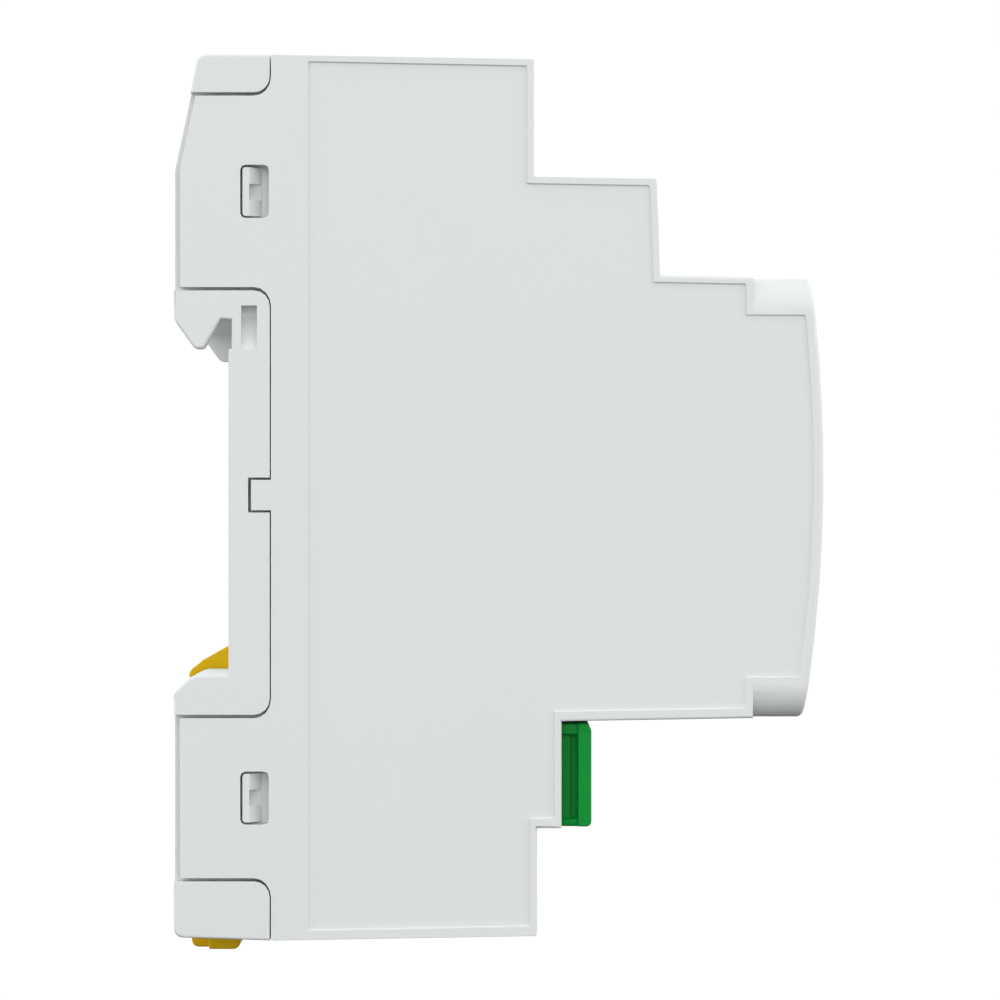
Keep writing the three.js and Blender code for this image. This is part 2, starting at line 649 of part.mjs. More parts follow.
// Channel in the back of the base in which the latch slides, with a wider bed for its guide flanges.
const latchHalf = LATCH_WIDTH / 2;
const channelFloor = CATCH_FACE + RUN;
const flangeHalf = latchHalf + LATCH_FLANGE;
const flangeBack = LATCH_BACK + 1.9;
const flangeTop = -LEDGE - 6;
const springTop = -LEDGE - 8;
const springSeat = springTop - SPRING_LENGTH;
const lugHeight = 1.6;
const flangeBottom = -top + 4.5;

function latchChannel() {
  const bottom = -top - 1;
  return join(
    block(back - 1, channelFloor, -latchHalf - RUN, latchHalf + RUN, bottom, -LEDGE + 1),
    block(flangeBack - RUN, channelFloor, -flangeHalf - RUN, flangeHalf + RUN, bottom, flangeTop + RUN),
  );
}

function latchTunnel() {
  const half = flangeHalf + RUN + BASE_WALL;
  const tunnel = block(back, channelFloor + BASE_WALL, -half, half, -top + HEEL, -LEDGE);
  return tunnel.intersect(sweep(baseOutline(), 'y', -half, half));
}

function rearBase() {
  let solid = sweep(baseOutline(), 'y', -halfWidth, halfWidth);
  for (const side of SIDES) {
    for (const tongue of TONGUES) {
      solid = solid.subtract(sideSweep(tongueOutline(tongue, -1, 0, 0), side, baseHalf, halfWidth + 1));
    }
  }
  solid = cut(solid, baseCavity());
  solid = cut(solid.add(latchTunnel()), latchChannel());
  const half = SPRING_RADIUS;
  const lug = block(LATCH_BACK, channelFloor + SEAT, -half, half, springSeat - lugHeight, springSeat);
  solid = solid.add(lug);
  for (const side of SIDES) {
    for (const tongue of TONGUES) {
      const rim = rectangle(PARTING - 1, POWER_BOARD - FIT, tongue.low + 3, tongue.high - 3);
      solid = join(solid, snapWedge(tongue, side), sideSweep(rim, side, baseInside, baseHalf));
    }
    const keyway = keyOutline(0, KEY_GAP);
    solid = solid.subtract(sideSweep(keyway, side, cavityHalf - FIT, halfWidth + 1));
    solid = solid.subtract(sidePocket(side)).add(hookTooth(side));
  }
  part('rear_base', solid, casePlastic());
}

// ---------------------------------------------------------------- rail latch and its spring
function dinLatch() {
  const tabBottom = -top - TAB_DROP;
  const catchProfile = [
    [LATCH_BACK, -LEDGE - 2],
    [CATCH_FACE, -LEDGE - 2],
    [CATCH_FACE, LATCH_TOP],
    [CATCH_FACE - 0.4, LATCH_TOP - 0.2],
    [CATCH_FACE - 2.7, LATCH_TOP - 1.5],
    [CATCH_FACE - 4.0, LATCH_TOP - 2.55],
    [back + 0.2, LATCH_TOP - 3.1],
    [LATCH_BACK, -LEDGE - 1.2],
  ];
  const strip = [
    [LATCH_FRONT, tabBottom],
    [LATCH_FRONT, -LEDGE - 1.5],
    [LATCH_BACK, -LEDGE - 1.5],
    ...arc(LATCH_BACK + TAB_CORNER, tabBottom + TAB_CORNER, TAB_CORNER, 180, 270, 4),
  ];
  const tabFront = LATCH_FRONT + TAB_THICKNESS / 2;
  const tab = [
    [tabFront - TAB_THICKNESS, -top - RUN],
    [tabFront - TAB_THICKNESS, tabBottom],
    ...arc(tabFront - TAB_CORNER, tabBottom + TAB_CORNER, TAB_CORNER, 270, 360, 4),
    [tabFront, -top - RUN],
  ];
  const window = SPRING_RADIUS + SPRING_WIRE / 2 + RUN;
  const lugBottom = springSeat - lugHeight;
  const body = join(
    sweep(catchProfile, 'y', -latchHalf, latchHalf),
    sweep(strip, 'y', -latchHalf, latchHalf),
    block(flangeBack, LATCH_FRONT, -flangeHalf, flangeHalf, flangeBottom, flangeTop),
    sweep(tab, 'y', -TAB_WIDTH / 2, TAB_WIDTH / 2),
  );
  const opening = block(back, 0, -window, window, lugBottom - RUN, springTop + SEAT);
  const notchLow = -top + NOTCH_DEPTH;
  const notch = rectangle(LATCH_BACK - 1, LATCH_BACK + NOTCH_DEPTH, notchLow, notchLow + NOTCH_HEIGHT);
  const grip = sweep(notch, 'y', -latchHalf - 1, latchHalf + 1);
  part('din_latch', cut(body, opening, grip), latchPlastic());
}

function latchSpring() {
  const wire = SPRING_WIRE / 2;
  const low = springSeat + wire + SEAT;
  const height = SPRING_LENGTH - 2 * (wire + SEAT);
  class Helix extends THREE.Curve {
    getPoint(t, target = new THREE.Vector3()) {
      const angle = t * SPRING_TURNS * 2 * Math.PI;
      const centre = (LATCH_BACK + LATCH_FRONT) / 2;
      const x = centre + SPRING_RADIUS * Math.cos(angle);
      return target.set(x, SPRING_RADIUS * Math.sin(angle), low + t * height);
    }
  }
  const section = new THREE.Shape(circle(0, 0, wire, 6).map(([a, b]) => new THREE.Vector2(a, b)));
  const options = { steps: SPRING_TURNS * 12, extrudePath: new Helix(), bevelEnabled: false };
  part('latch_spring', solidOf(new THREE.ExtrudeGeometry(section, options)), springSteel());
}

// ---------------------------------------------------------------- flap, fascia and display
function displayFlap() {
  const outer = frontCurve(-flapTop, flapTop, 0, 12);
  const inner = frontCurve(-flapTop, flapTop, FLAP_THICKNESS, 12).reverse();
  let solid = sweep([...outer, ...inner], 'y', -flapHalf, flapHalf);
  for (const side of SIDES) {
    const inside = flapHalf - 2.2;
    solid = solid.add(sideSweep(circle(hingeX, hingeZ, KNUCKLE, 16), side, inside, flapHalf));
    solid = solid.add(sideSweep(circle(hingeX, hingeZ, PIN, 12), side, inside, flapHalf + RUN + PIN));
  }
  part('display_flap', solid, clearPlastic());
}

function buttonY(index) {
  return (index - 1.5) * BUTTON_PITCH;
}

function buttonOutline(index, grow) {
  const y = buttonY(index);
  const half = BUTTON_WIDTH / 2 + grow;
  const rise = BUTTON_HEIGHT / 2 + grow;
  return roundRectangle(y - half, y + half, buttonZ - rise, buttonZ + rise, 1.2 + grow);
}

function windowOutline(grow) {
  const half = WINDOW_WIDTH / 2 + grow;
  const rise = WINDOW_HEIGHT / 2 + grow;
  return roundRectangle(-half, half, windowZ - rise, windowZ + rise, 1 + Math.max(grow, 0));
}

function fasciaPlate() {
  const outline = roundRectangle(-flapHalf, flapHalf, -flapTop, flapTop, 0.8);
  let solid = sweep(outline, 'x', fasciaRear, FASCIA_FRONT);
  solid = solid.subtract(sweep(windowOutline(0), 'x', fasciaRear - 1, FASCIA_FRONT + 1));
  for (let index = 0; index < 4; index++) {
    solid = solid.subtract(sweep(buttonOutline(index, RUN), 'x', fasciaRear - 1, FASCIA_FRONT + 1));
  }
  part('fascia_plate', solid, greyPlastic());
}

function display() {
  const half = WINDOW_WIDTH / 2 + LCD_MARGIN;
  const low = windowZ - WINDOW_HEIGHT / 2 - LCD_MARGIN;
  const high = windowZ + WINDOW_HEIGHT / 2 + LCD_MARGIN;
  const lcdFront = fasciaRear - FIT;
  const lcdRear = lcdFront - LCD_THICKNESS;
  const lens = sweep(windowOutline(-FIT / 2), 'x', fasciaRear + LENS_SINK, FASCIA_FRONT - LENS_SINK);
  const guide = block(displayFront + SEAT, lcdRear - FIT, -half, half, low, high);
  part('display_window', lens, clearPlastic());
  part('lcd_panel', block(lcdRear, lcdFront, -half, half, low, high), finish(0x8f9d86, 0.3));
  part('backlight_guide', guide, clearPlastic());
}

const BUTTON_NAMES = ['button_menu', 'button_minus', 'button_plus', 'button_ok'];
const BUTTON_FLANGE = 0.7;        // thickness of the flange that keeps a button behind the fascia
const FLANGE_REACH = 0.8;         // how far the flange reaches past the button
const SWITCH_WIDTH = 5.2;
const SWITCH_HEIGHT = 4.4;
const PLUNGER_HEIGHT = 0.5;

function button(name, index) {
  const y = buttonY(index);
  const rear = fasciaRear - FIT - BUTTON_FLANGE;
  const half = BUTTON_WIDTH / 2 + FLANGE_REACH;
  const rise = BUTTON_HEIGHT / 2 + FLANGE_REACH;
  const flange = block(rear, rear + BUTTON_FLANGE, y - half, y + half, buttonZ - rise, buttonZ + rise);
  const cap = sweep(buttonOutline(index, 0), 'x', rear, FASCIA_FRONT + BUTTON_STANDOUT);
  part(name, flange.add(cap), darkPlastic());
}

function tactSwitch(index) {
  const y = buttonY(index);
  const front = fasciaRear - FIT - BUTTON_FLANGE - BUTTON_TRAVEL - SEAT;
  const rear = displayFront + SEAT;
  const half = SWITCH_WIDTH / 2;
  const rise = SWITCH_HEIGHT / 2;
  const body = block(rear, front - PLUNGER_HEIGHT, y - half, y + half, buttonZ - rise, buttonZ + rise);
  const plunger = sweep(circle(y, buttonZ, 1.1, 10), 'x', rear, front);
  part(`tact_switch_${index + 1}`, body.add(plunger), darkPlastic());
}

// ---------------------------------------------------------------- display board and what it carries
const CHIP_WIDTH = 10;
const CHIP_THICKNESS = 1.4;
const CRYSTAL = 1.5;              // radius of the quartz crystal's can
const CRYSTAL_LENGTH = 8;
const CELL = 10;                  // radius of the coin cell
const CELL_THICKNESS = 3.2;
const STRAP_WIDTH = 5;

function displayBoard() {
  const half = cavityHalf - BOARD_MARGIN;
  const rise = noseHalf - WALL - BOARD_MARGIN;
  part('display_board', block(DISPLAY_BOARD, displayFront, -half, half, -rise, rise), boardLaminate());
  const rear = DISPLAY_BOARD - SEAT;
  const chip = block(rear - CHIP_THICKNESS, rear, -6, CHIP_WIDTH - 6, 2, CHIP_WIDTH + 2);
  const reach = CRYSTAL_LENGTH / 2;
  const crystal = sweep(circle(rear - CRYSTAL, 12, CRYSTAL, 12), 'z', -reach, reach);
  part('microcontroller', chip, darkPlastic());
  part('quartz_crystal', crystal, springSteel());
}

// Lithium coin cell on the back of the display board, under a bent steel strap.
function battery() {
  const rear = DISPLAY_BOARD - SEAT;
  const middle = -8;
  const level = -9;
  const face = rear - CELL_THICKNESS;
  part('battery_cell', sweep(circle(middle, level, CELL, 32), 'x', face, rear), springSteel());
  const low = middle - CELL - SEAT;
  const high = middle + CELL + SEAT;
  const inner = face - SEAT;
  const outer = inner - STRAP;
  const strap = [
    [rear, low - STRAP],
    [rear, low],
    [inner, low],
    [inner, high],
    [rear, high],
    [rear, high + STRAP],
    [outer, high + STRAP],
    [outer, low - STRAP],
  ];
  part('battery_clip', sweep(strap, 'z', level - STRAP_WIDTH / 2, level + STRAP_WIDTH / 2), springSteel());
}

// ---------------------------------------------------------------- ribbon between the boards
const SOCKET_WIDTH = 14;
const SOCKET_DEPTH = 4.5;
const SOCKET_HEIGHT = 4;
const RIBBON = 0.8;               // ribbon thickness
const RIBBON_SAG = 1.2;

function ribbon() {
  const level = 16;
  const half = SOCKET_WIDTH / 2;
  const rise = SOCKET_HEIGHT / 2;
  const rearMouth = powerFront + SEAT + SOCKET_DEPTH;
  const frontMouth = DISPLAY_BOARD - SEAT - SOCKET_DEPTH;
  const socket = (low, high) => block(low, high, -half, half, level - rise, level + rise);
  part('ribbon_socket_rear', socket(powerFront + SEAT, rearMouth), greyPlastic());
  part('ribbon_socket_front', socket(frontMouth, DISPLAY_BOARD - SEAT), greyPlastic());
  const start = rearMouth + SEAT;
  const length = frontMouth - SEAT - start;
  const lower = [];
  const steps = 12;
  for (let i = 0; i <= steps; i++) {
    const sag = RIBBON_SAG * Math.sin(Math.PI * i / steps) ** 2;
    lower.push([start + length * i / steps, level - RIBBON / 2 - sag]);
  }
  const upper = lower.map(([x, z]) => [x, z + RIBBON]).reverse();
  part('ribbon_cable', sweep([...lower, ...upper], 'y', -half + 1, half - 1), greyPlastic());
}

// ---------------------------------------------------------------- power board and what it carries
function powerBoard() {
  const edge = cavityHalf - BOARD_MARGIN;
  const end = top - WALL - 2;
  let board = block(POWER_BOARD, powerFront, -edge, edge, -end, end);
  for (let index = 0; index < POLES; index++) {
    const y = poleY(index);
    const half = PIN_WIDTH / 2 + FIT;
    const rise = BUSBAR / 2 + FIT;
    const slot = block(POWER_BOARD - 1, powerFront + 1, y - half, y + half, pinZ - rise, pinZ + rise);
    board = board.subtract(slot);
  }
  part('power_board', board, boardLaminate());
}

function powerComponents() {
  const face = powerFront + SEAT;
  const upperZ = (UPPER_SHOULDER_TOP - WALL + blockTop) / 2 + 2;
  const standing = ([length, ...spans]) => block(face, face + length, ...spans);
  const can = ([radius, length, y]) => sweep(circle(y, upperZ, radius, 24), 'x', face, face + length);
  const [discRadius, discRise, ...discSpan] = VARISTOR;
  const [rodRadius, rodRise, rodY, ...rodSpan] = RESISTOR;
  const disc = sweep(circle(face + discRise, upperZ, discRadius, 24), 'y', ...discSpan);
  const rod = sweep(circle(face + rodRise, rodY, rodRadius, 14), 'z', ...rodSpan);
  part('relay', standing(RELAY), darkPlastic());
  part('film_capacitor', standing(FILM_CAPACITOR), finish(0xc9b23a, 0.5));
  part('smoothing_capacitor_large', can(LARGE_CAPACITOR), darkPlastic());
  part('smoothing_capacitor_small', can(SMALL_CAPACITOR), darkPlastic());
  part('varistor', disc, finish(0x2c5aa0, 0.5));
  part('bridge_rectifier', standing(RECTIFIER), darkPlastic());
  part('fusible_resistor', rod, finish(0x6f8f9a, 0.5));
}

// ---------------------------------------------------------------- spring terminals
const pinZ = busTop + LOOP_RISE;
const carrierTop = stemBottom - 3 * RUN;
const carrierRear = loopX - LEG_REACH - 3;
const riserX = carrierRear - 1.5 - BUSBAR;
const legSlope = Math.atan2(LOOP_RISE - TIP_RISE, LEG_REACH);
const noseLow = busTop + FINGER_RISE;
const noseHigh = noseLow + FINGER_NOSE;

// Comb of insulating walls with the rod that the clamp springs loop around.
function terminalCarrier() {
  const low = -caseTop(LOWER_STEP) + WALL + FIT;
  const front = lowerWallInside - FIT;
  const end = cavityHalf - BOARD_MARGIN;
  const walls = [sweep(circle(loopX, loopZ, LOOP - FIT, 12), 'y', -end, end)];
  walls.push(block(carrierRear, carrierRear + 1, -end, end, busTop + FIT, carrierTop));
  for (let index = 1; index < POLES; index++) {
    const y = poleY(index) - polePitch / 2;
    walls.push(block(carrierRear, front, y - FIN / 2, y + FIN / 2, low, carrierTop));
  }
  part('terminal_carrier', join(...walls), greyPlastic());
}

function busbar(index) {
  const y = poleY(index);
  const half = poleRoom - 0.2;
  const pin = PIN_WIDTH / 2;
  const rise = BUSBAR / 2;
  const bar = join(
    block(riserX, lowerWallInside - FIT, y - half, y + half, busTop - BUSBAR, busTop),
    block(riserX, riserX + BUSBAR, y - half, y + half, busTop - BUSBAR, pinZ + rise),
    block(POWER_BOARD - 0.6, riserX + BUSBAR, y - pin, y + pin, pinZ - rise, pinZ + rise),
  );
  part(`busbar_${index + 1}`, bar, tinnedCopper());
}

// Strip spring: a loop around the carrier's rod and a leg that slants down to the busbar.
function clampSpring(index) {
  const outerRadius = LOOP + STRIP;
  const leave = THREE.MathUtils.radToDeg(legSlope) - 90;
  const tipAt = (radius) => [
    loopX - LEG_REACH + radius * Math.sin(legSlope),
    busTop + TIP_RISE - radius * Math.cos(legSlope),
  ];
  const outline = [
    tipAt(outerRadius),
    ...arc(loopX, loopZ, outerRadius, leave, leave + 250, 12),
    ...arc(loopX, loopZ, LOOP, leave + 250, leave, 12),
    tipAt(LOOP),
  ];
  const y = poleY(index);
  const half = poleRoom - FIT;
  part(`clamp_spring_${index + 1}`, sweep(outline, 'y', y - half, y + half), springSteel());
}

// The green head that is pushed with a finger, with hollowed sides and a rib in each hollow.
function openerHead(y, rear) {
  const half = (polePitch - FIN) / 2 - OPENER_GAP;
  const front = LOWER_SHOULDER + OPENER_REACH;
  const outline = [
    [rear, openerBottom],
    ...arc(front - OPENER_CORNER, openerBottom + OPENER_CORNER, OPENER_CORNER, 270, 360, 3),
    [front, openerTop - OPENER_CHAMFER[1]],
    [front - OPENER_CHAMFER[0], openerTop],
    [rear, openerTop],
  ];
  const low = openerBottom + OPENER_LOW_WALL;
  const high = openerTop - OPENER_TOP_WALL;
  const hollow = rectangle(rear - 1, front - OPENER_PLATE, low, high);
  const step = rectangle(rear - 1, rear + OPENER_STEP_LENGTH, low, high);
  let solid = sweep(outline, 'y', y - half, y + half);
  for (const side of SIDES) {
    const flank = rectangle(rear - 1, front - OPENER_PLATE, openerBottom - 1, openerTop + 1);
    solid = solid.subtract(sideSweep(flank, side, half - OPENER_DRAW, half + 1).translate(0, y, 0));
    const web = half - OPENER_SINK;
    const raised = sideSweep(step, side, web - 1, web + OPENER_STEP);
    const recess = sideSweep(hollow, side, web, half + 1).subtract(raised);
    solid = solid.subtract(recess.translate(0, y, 0));
  }
  return solid;
}

// Head, stem through the wall and, at its end, the finger that pushes the clamp leg.
function opener(index) {
  const y = poleY(index);
  const rear = LOWER_STEP + OPENER_TRAVEL + RUN;
  const fingerFront = lowerWallInside - FINGER_GAP;
  const fingerRear = fingerFront - FINGER_THICKNESS;
  const stemHalf = STEM_WIDTH / 2;
  const finger = FINGER_WIDTH / 2;
  const legFace = (LOOP + STRIP) / Math.sin(legSlope) + LEG_GAP;
  const legAt = (z) => loopX - (loopZ - z) / Math.tan(legSlope) + legFace;
  const nose = [
    [fingerRear + 0.2, noseHigh],
    [legAt(noseHigh), noseHigh],
    [legAt(noseLow), noseLow],
    [fingerRear + 0.2, noseLow],
  ];
  const solid = join(
    openerHead(y, rear),
    block(fingerRear, rear + 0.5, y - stemHalf, y + stemHalf, stemBottom, stemTop),
    block(fingerRear, fingerFront, y - finger, y + finger, noseLow, stemBottom + 1),
    sweep(nose, 'y', y - finger, y + finger),
  );
  part(`opener_${index + 1}`, solid, openerPlastic());
}

frontHousing();
rearBase();
dinLatch();
latchSpring();
displayFlap();
fasciaPlate();
display();
BUTTON_NAMES.forEach((name, index) => {
  button(name, index);
  tactSwitch(index);
});
displayBoard();
battery();
ribbon();
powerBoard();
powerComponents();
terminalCarrier();
for (let index = 0; index < POLES; index++) {
  busbar(index);
  clampSpring(index);
  opener(index);
}

const timer = new THREE.Group();
timer.add(...parts);
export default timer;
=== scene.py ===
"""Looks of a digital time switch for a 35 mm mounting rail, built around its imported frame.

Every piece is a copy of the frame's own part with its edges rounded, or is modelled here from a
primitive. Lengths are metres: X points out of the wall, Y runs along the rail and Z points up.
"""

import math

import bmesh
import bpy
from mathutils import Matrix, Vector


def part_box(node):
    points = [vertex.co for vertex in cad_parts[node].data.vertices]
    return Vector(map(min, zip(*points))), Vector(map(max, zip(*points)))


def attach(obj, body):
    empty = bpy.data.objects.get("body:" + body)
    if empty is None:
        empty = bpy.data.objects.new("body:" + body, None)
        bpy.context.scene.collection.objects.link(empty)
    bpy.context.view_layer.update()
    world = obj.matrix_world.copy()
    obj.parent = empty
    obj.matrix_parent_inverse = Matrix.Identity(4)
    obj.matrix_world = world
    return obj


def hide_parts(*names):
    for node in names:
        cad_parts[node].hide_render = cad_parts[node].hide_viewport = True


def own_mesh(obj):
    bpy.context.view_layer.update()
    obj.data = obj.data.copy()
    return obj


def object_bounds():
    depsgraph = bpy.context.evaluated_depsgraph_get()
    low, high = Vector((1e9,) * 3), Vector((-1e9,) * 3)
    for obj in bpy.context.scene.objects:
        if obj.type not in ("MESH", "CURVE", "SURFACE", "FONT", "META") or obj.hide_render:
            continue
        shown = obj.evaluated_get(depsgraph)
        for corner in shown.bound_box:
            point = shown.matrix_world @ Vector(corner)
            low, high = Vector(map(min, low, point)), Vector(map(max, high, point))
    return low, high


bl_info = {
    "name": "Rail Time Switch",
    "version": (1, 0, 0),
    "blender": (4, 5, 0),
    "location": "3D View > Sidebar > Time Switch",
    "description": "Builds the visible pieces of a rail-mounted time switch around its frame",
    "category": "Object",
}

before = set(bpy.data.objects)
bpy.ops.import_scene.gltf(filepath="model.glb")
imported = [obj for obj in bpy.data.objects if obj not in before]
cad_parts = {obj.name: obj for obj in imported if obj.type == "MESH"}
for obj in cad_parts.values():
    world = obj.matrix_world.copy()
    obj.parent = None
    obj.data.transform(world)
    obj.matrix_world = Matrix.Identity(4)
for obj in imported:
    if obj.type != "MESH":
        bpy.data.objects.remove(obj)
cad_low, cad_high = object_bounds()

MM = 0.001
POLES = 5
BUTTONS = ("menu", "minus", "plus", "ok")
SMOOTH_ANGLE = math.radians(38)     # edges sharper than this keep a crease
SHARP_ANGLE = math.radians(24)      # edges sharper than this are rounded
FLAT_ANGLE = math.radians(0.6)      # faces that meet flatter than this become one
STRAIGHT_ON = -0.8                  # cosine between two edges that run on from each other
ROUND_SHARE = 0.42                  # how much of the edge beside it a round may take up
LARGE_FACE = 1.5 * MM * MM          # faces that stay clear of rubbed wear and the painted edge sheen
WELD = 0.002 * MM                   # points closer than this become one
TIGHT = 0.01 * MM                   # two places closer than this are level
LOOSE = 0.1 * MM                    # a wider margin for the same
WALL_LEAN = 0.5                     # how far a wall's normal may lean along the rail
WHITE = 1.02                        # strength that shows as pure white


def tone(red, green, blue):
    """A display colour from 0 to 255 as the linear colour that shaders take."""
    return tuple(
        v / 12.92 if v <= 0.04045 else ((v + 0.055) / 1.055) ** 2.4
        for v in (red / 255, green / 255, blue / 255)
    )


# ------------------------------------------------------------------ settings
def length(name, description, millimetres):
    return bpy.props.FloatProperty(
        name=name,
        description=description,
        default=millimetres * MM,
        min=0.0,
        precision=5,
        subtype="DISTANCE",
        unit="LENGTH",
    )


def colour(name, description, red, green, blue):
    return bpy.props.FloatVectorProperty(
        name=name,
        description=description,
        size=3,
        min=0.0,
        max=1.0,
        subtype="COLOR",
        default=tone(red, green, blue),
    )


class CaseSettings(bpy.types.PropertyGroup):
    """Sizes and colours of the two case mouldings."""

    body: colour("Case", "Colour of the front housing and the rear base", 220, 224, 223)
    outer_edge: length("Outer edges", "Round on the edges of the side faces", 0.28)
    step_edge: length("Step edges", "Round on the corners of the steps", 0.28)
    joint_edge: length("Joint edges", "Round on both sides of the joint between the mouldings", 0.05)
    fine_edge: length("Fine edges", "Round on small ribs, slots and openings", 0.1)
    nose_start: length("Nose start", "Where the front's round corners begin, out from the rail", 53.3)
    panel_lip: length("Panel lip", "Round on the rim of the sunk side panels", 0.06)
    panel_fillet: length("Panel fillet", "Hollow round at the foot of the panel's wall", 0.3)
    rim_depth: length("Rim depth", "The sunk panels' rims lie within this of the side faces", 0.55)
    tongue_reach: length("Tongue reach", "The joint reaches this far in front of the rear base", 1.5)
    front_reach: length("Front reach", "From the display board to the openings of the front", 3.0)
    entry_start: length("Entry start", "Where the wire entries begin, out from the rail", 29.4)
    snap_depth: length("Snap depth", "Width of the rear base's sides with the snap wedges", 3.4)
    band_start: length("Band start", "Where the base's bands begin, above and below its middle", 20.8)
    seat_depth: length("Seat depth", "Edges further out than this lie in the joint", 0.5)
    grain: length("Grain", "Size of the eroded texture on the mouldings", 0.12)


class LatchSettings(bpy.types.PropertyGroup):
    """Sizes and colours of the rail latch and its spring."""

    body: colour("Latch", "Colour of the rail latch", 214, 172, 8)
    edge: length("Edges", "Round on the latch's edges", 0.18)
    wire: length("Wire", "Diameter of the spring's wire", 0.4)
    coil: length("Coil", "Mean diameter of the spring", 2.5)
    turns: bpy.props.IntProperty(name="Turns", description="Turns of the spring", default=6, min=2)


class TerminalSettings(bpy.types.PropertyGroup):
    """Sizes and colours of the openers."""

    body: colour("Openers", "Colour of the terminal openers", 8, 142, 52)
    edge: length("Edges", "Round on the openers' edges", 0.2)


class DisplaySettings(bpy.types.PropertyGroup):
    """Sizes and colours of the flap, fascia, display and buttons."""

    fascia: colour("Fascia", "Colour of the plate round the display", 158, 163, 166)
    button: colour("Buttons", "Colour of the four buttons", 62, 66, 72)
    glass: colour("Display", "Colour of the display behind its figures", 158, 171, 146)
    ink: colour("Figures", "Colour of the display's figures", 30, 36, 34)
    legend: colour("Legends", "Colour of the marks on the buttons", 226, 229, 230)
    edge: length("Edges", "Round on the edges of the flap, fascia and buttons", 0.14)
    figure_height: length("Figure height", "Height of the time's figures", 6.2)
    hours: bpy.props.IntProperty(name="Hours", description="Hours shown", default=12, min=0, max=23)
    minutes: bpy.props.IntProperty(
        name="Minutes", description="Minutes shown", default=45, min=0, max=59
    )


class StageSettings(bpy.types.PropertyGroup):
    """Camera, light and floor."""

    aim_x: length("Aim X", "What the camera looks at, out from the wall", 27.59)
    aim_z: length("Aim Z", "What the camera looks at, above the rail's middle", -0.25)
    distance: length("Distance", "From the camera to the near side of the case", 455.0)
    lens: bpy.props.FloatProperty(
        name="Lens", description="Focal length in millimetres", default=161.3, min=10.0
    )
    floor_drop: length("Floor drop", "From the part's lowest point down to the floor", 110.0)
    ambient: bpy.props.FloatProperty(
        name="Ambient", description="Strength of the light from all round", default=0.94, min=0.0
    )
    forward: bpy.props.FloatProperty(
        name="Forward", description="How much more light comes from the front", default=0.05, min=0.0
    )


# ------------------------------------------------------------------ modelling helpers
def deselect_all():
    for piece in bpy.context.selected_objects:
        piece.select_set(False)


def make_active(piece):
    deselect_all()
    piece.select_set(True)
    bpy.context.view_layer.objects.active = piece


def edit(piece, *steps):
    """Runs operators in edit mode on whatever is selected in the piece's mesh."""
    make_active(piece)
    bpy.ops.object.mode_set(mode="EDIT")
    for step in steps:
        step()
    bpy.ops.object.mode_set(mode="OBJECT")


def select_everything():
    bpy.ops.mesh.select_all(action="SELECT")


def select_edges(piece, wanted):
    """Selects the edges for which wanted(bmesh edge) holds, and nothing else."""
    bpy.context.tool_settings.mesh_select_mode = (False, True, False)
    work = bmesh.new()
    work.from_mesh(piece.data)
    work.select_mode = {"EDGE"}
    for item in (*work.verts, *work.edges, *work.faces):
        item.select = False
    for edge in work.edges:
        if wanted(edge):
            edge.select = True
    work.select_flush_mode()
    work.to_mesh(piece.data)
    work.free()


def add_modifier(piece, kind, **values):
    """Adds a modifier with these values and applies it."""
    make_active(piece)
    modifier = piece.modifiers.new(kind.title(), kind)
    for name, value in values.items():
        setattr(modifier, name, value)
    bpy.ops.object.modifier_apply(modifier=modifier.name)


def frame_copy(node, name):
    """A copy of a frame node with its loose triangles merged into clean flat faces."""
    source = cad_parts[node]
    piece = bpy.data.objects.new(name, source.data.copy())
    bpy.context.scene.collection.objects.link(piece)
    piece.data.name = name
    piece.data.materials.clear()
    edit(
        piece,
        select_everything,
        lambda: bpy.ops.mesh.remove_doubles(threshold=WELD),
        lambda: bpy.ops.mesh.dissolve_limited(angle_limit=FLAT_ANGLE),
    )
    return piece


def add_box(name, low, high):
    """A cube primitive stretched between two corners."""
    deselect_all()
    low, high = Vector(low), Vector(high)
    bpy.ops.mesh.primitive_cube_add(size=1.0, location=(low + high) / 2, scale=high - low)
    piece = bpy.context.object
    piece.name = piece.data.name = name
    settle(piece)
    return piece


def settle(piece):
    """Puts the piece's place into its mesh."""
    make_active(piece)
    bpy.ops.object.transform_apply(location=True, rotation=True, scale=True)


def join(name, pieces):
    """Joins several objects into one mesh."""
    deselect_all()
    for piece in pieces:
        piece.select_set(True)
    bpy.context.view_layer.objects.active = pieces[0]
    if len(pieces) > 1:
        bpy.ops.object.join()
    whole = bpy.context.object
    whole.name = whole.data.name = name
    settle(whole)
    return whole


def shifted_copy(piece, name, offset):
    """A copy with its own mesh, moved by an offset."""
    twin = piece.copy()
    twin.data = piece.data.copy()
    twin.name = twin.data.name = name
    bpy.context.scene.collection.objects.link(twin)
    twin.location = Vector(twin.location) + Vector(offset)
    settle(twin)
    return twin


def room_beside(edge):
    """How wide an edge can be rounded before it meets the far end of an edge beside it."""
    room = math.inf
    for vertex in edge.verts:
        along = (edge.other_vert(vertex).co - vertex.co).normalized()
        for other in vertex.link_edges:
            reach = other.other_vert(vertex).co - vertex.co
            if other is not edge and along.dot(reach.normalized()) > STRAIGHT_ON:
                room = min(room, reach.length)
    return room * ROUND_SHARE


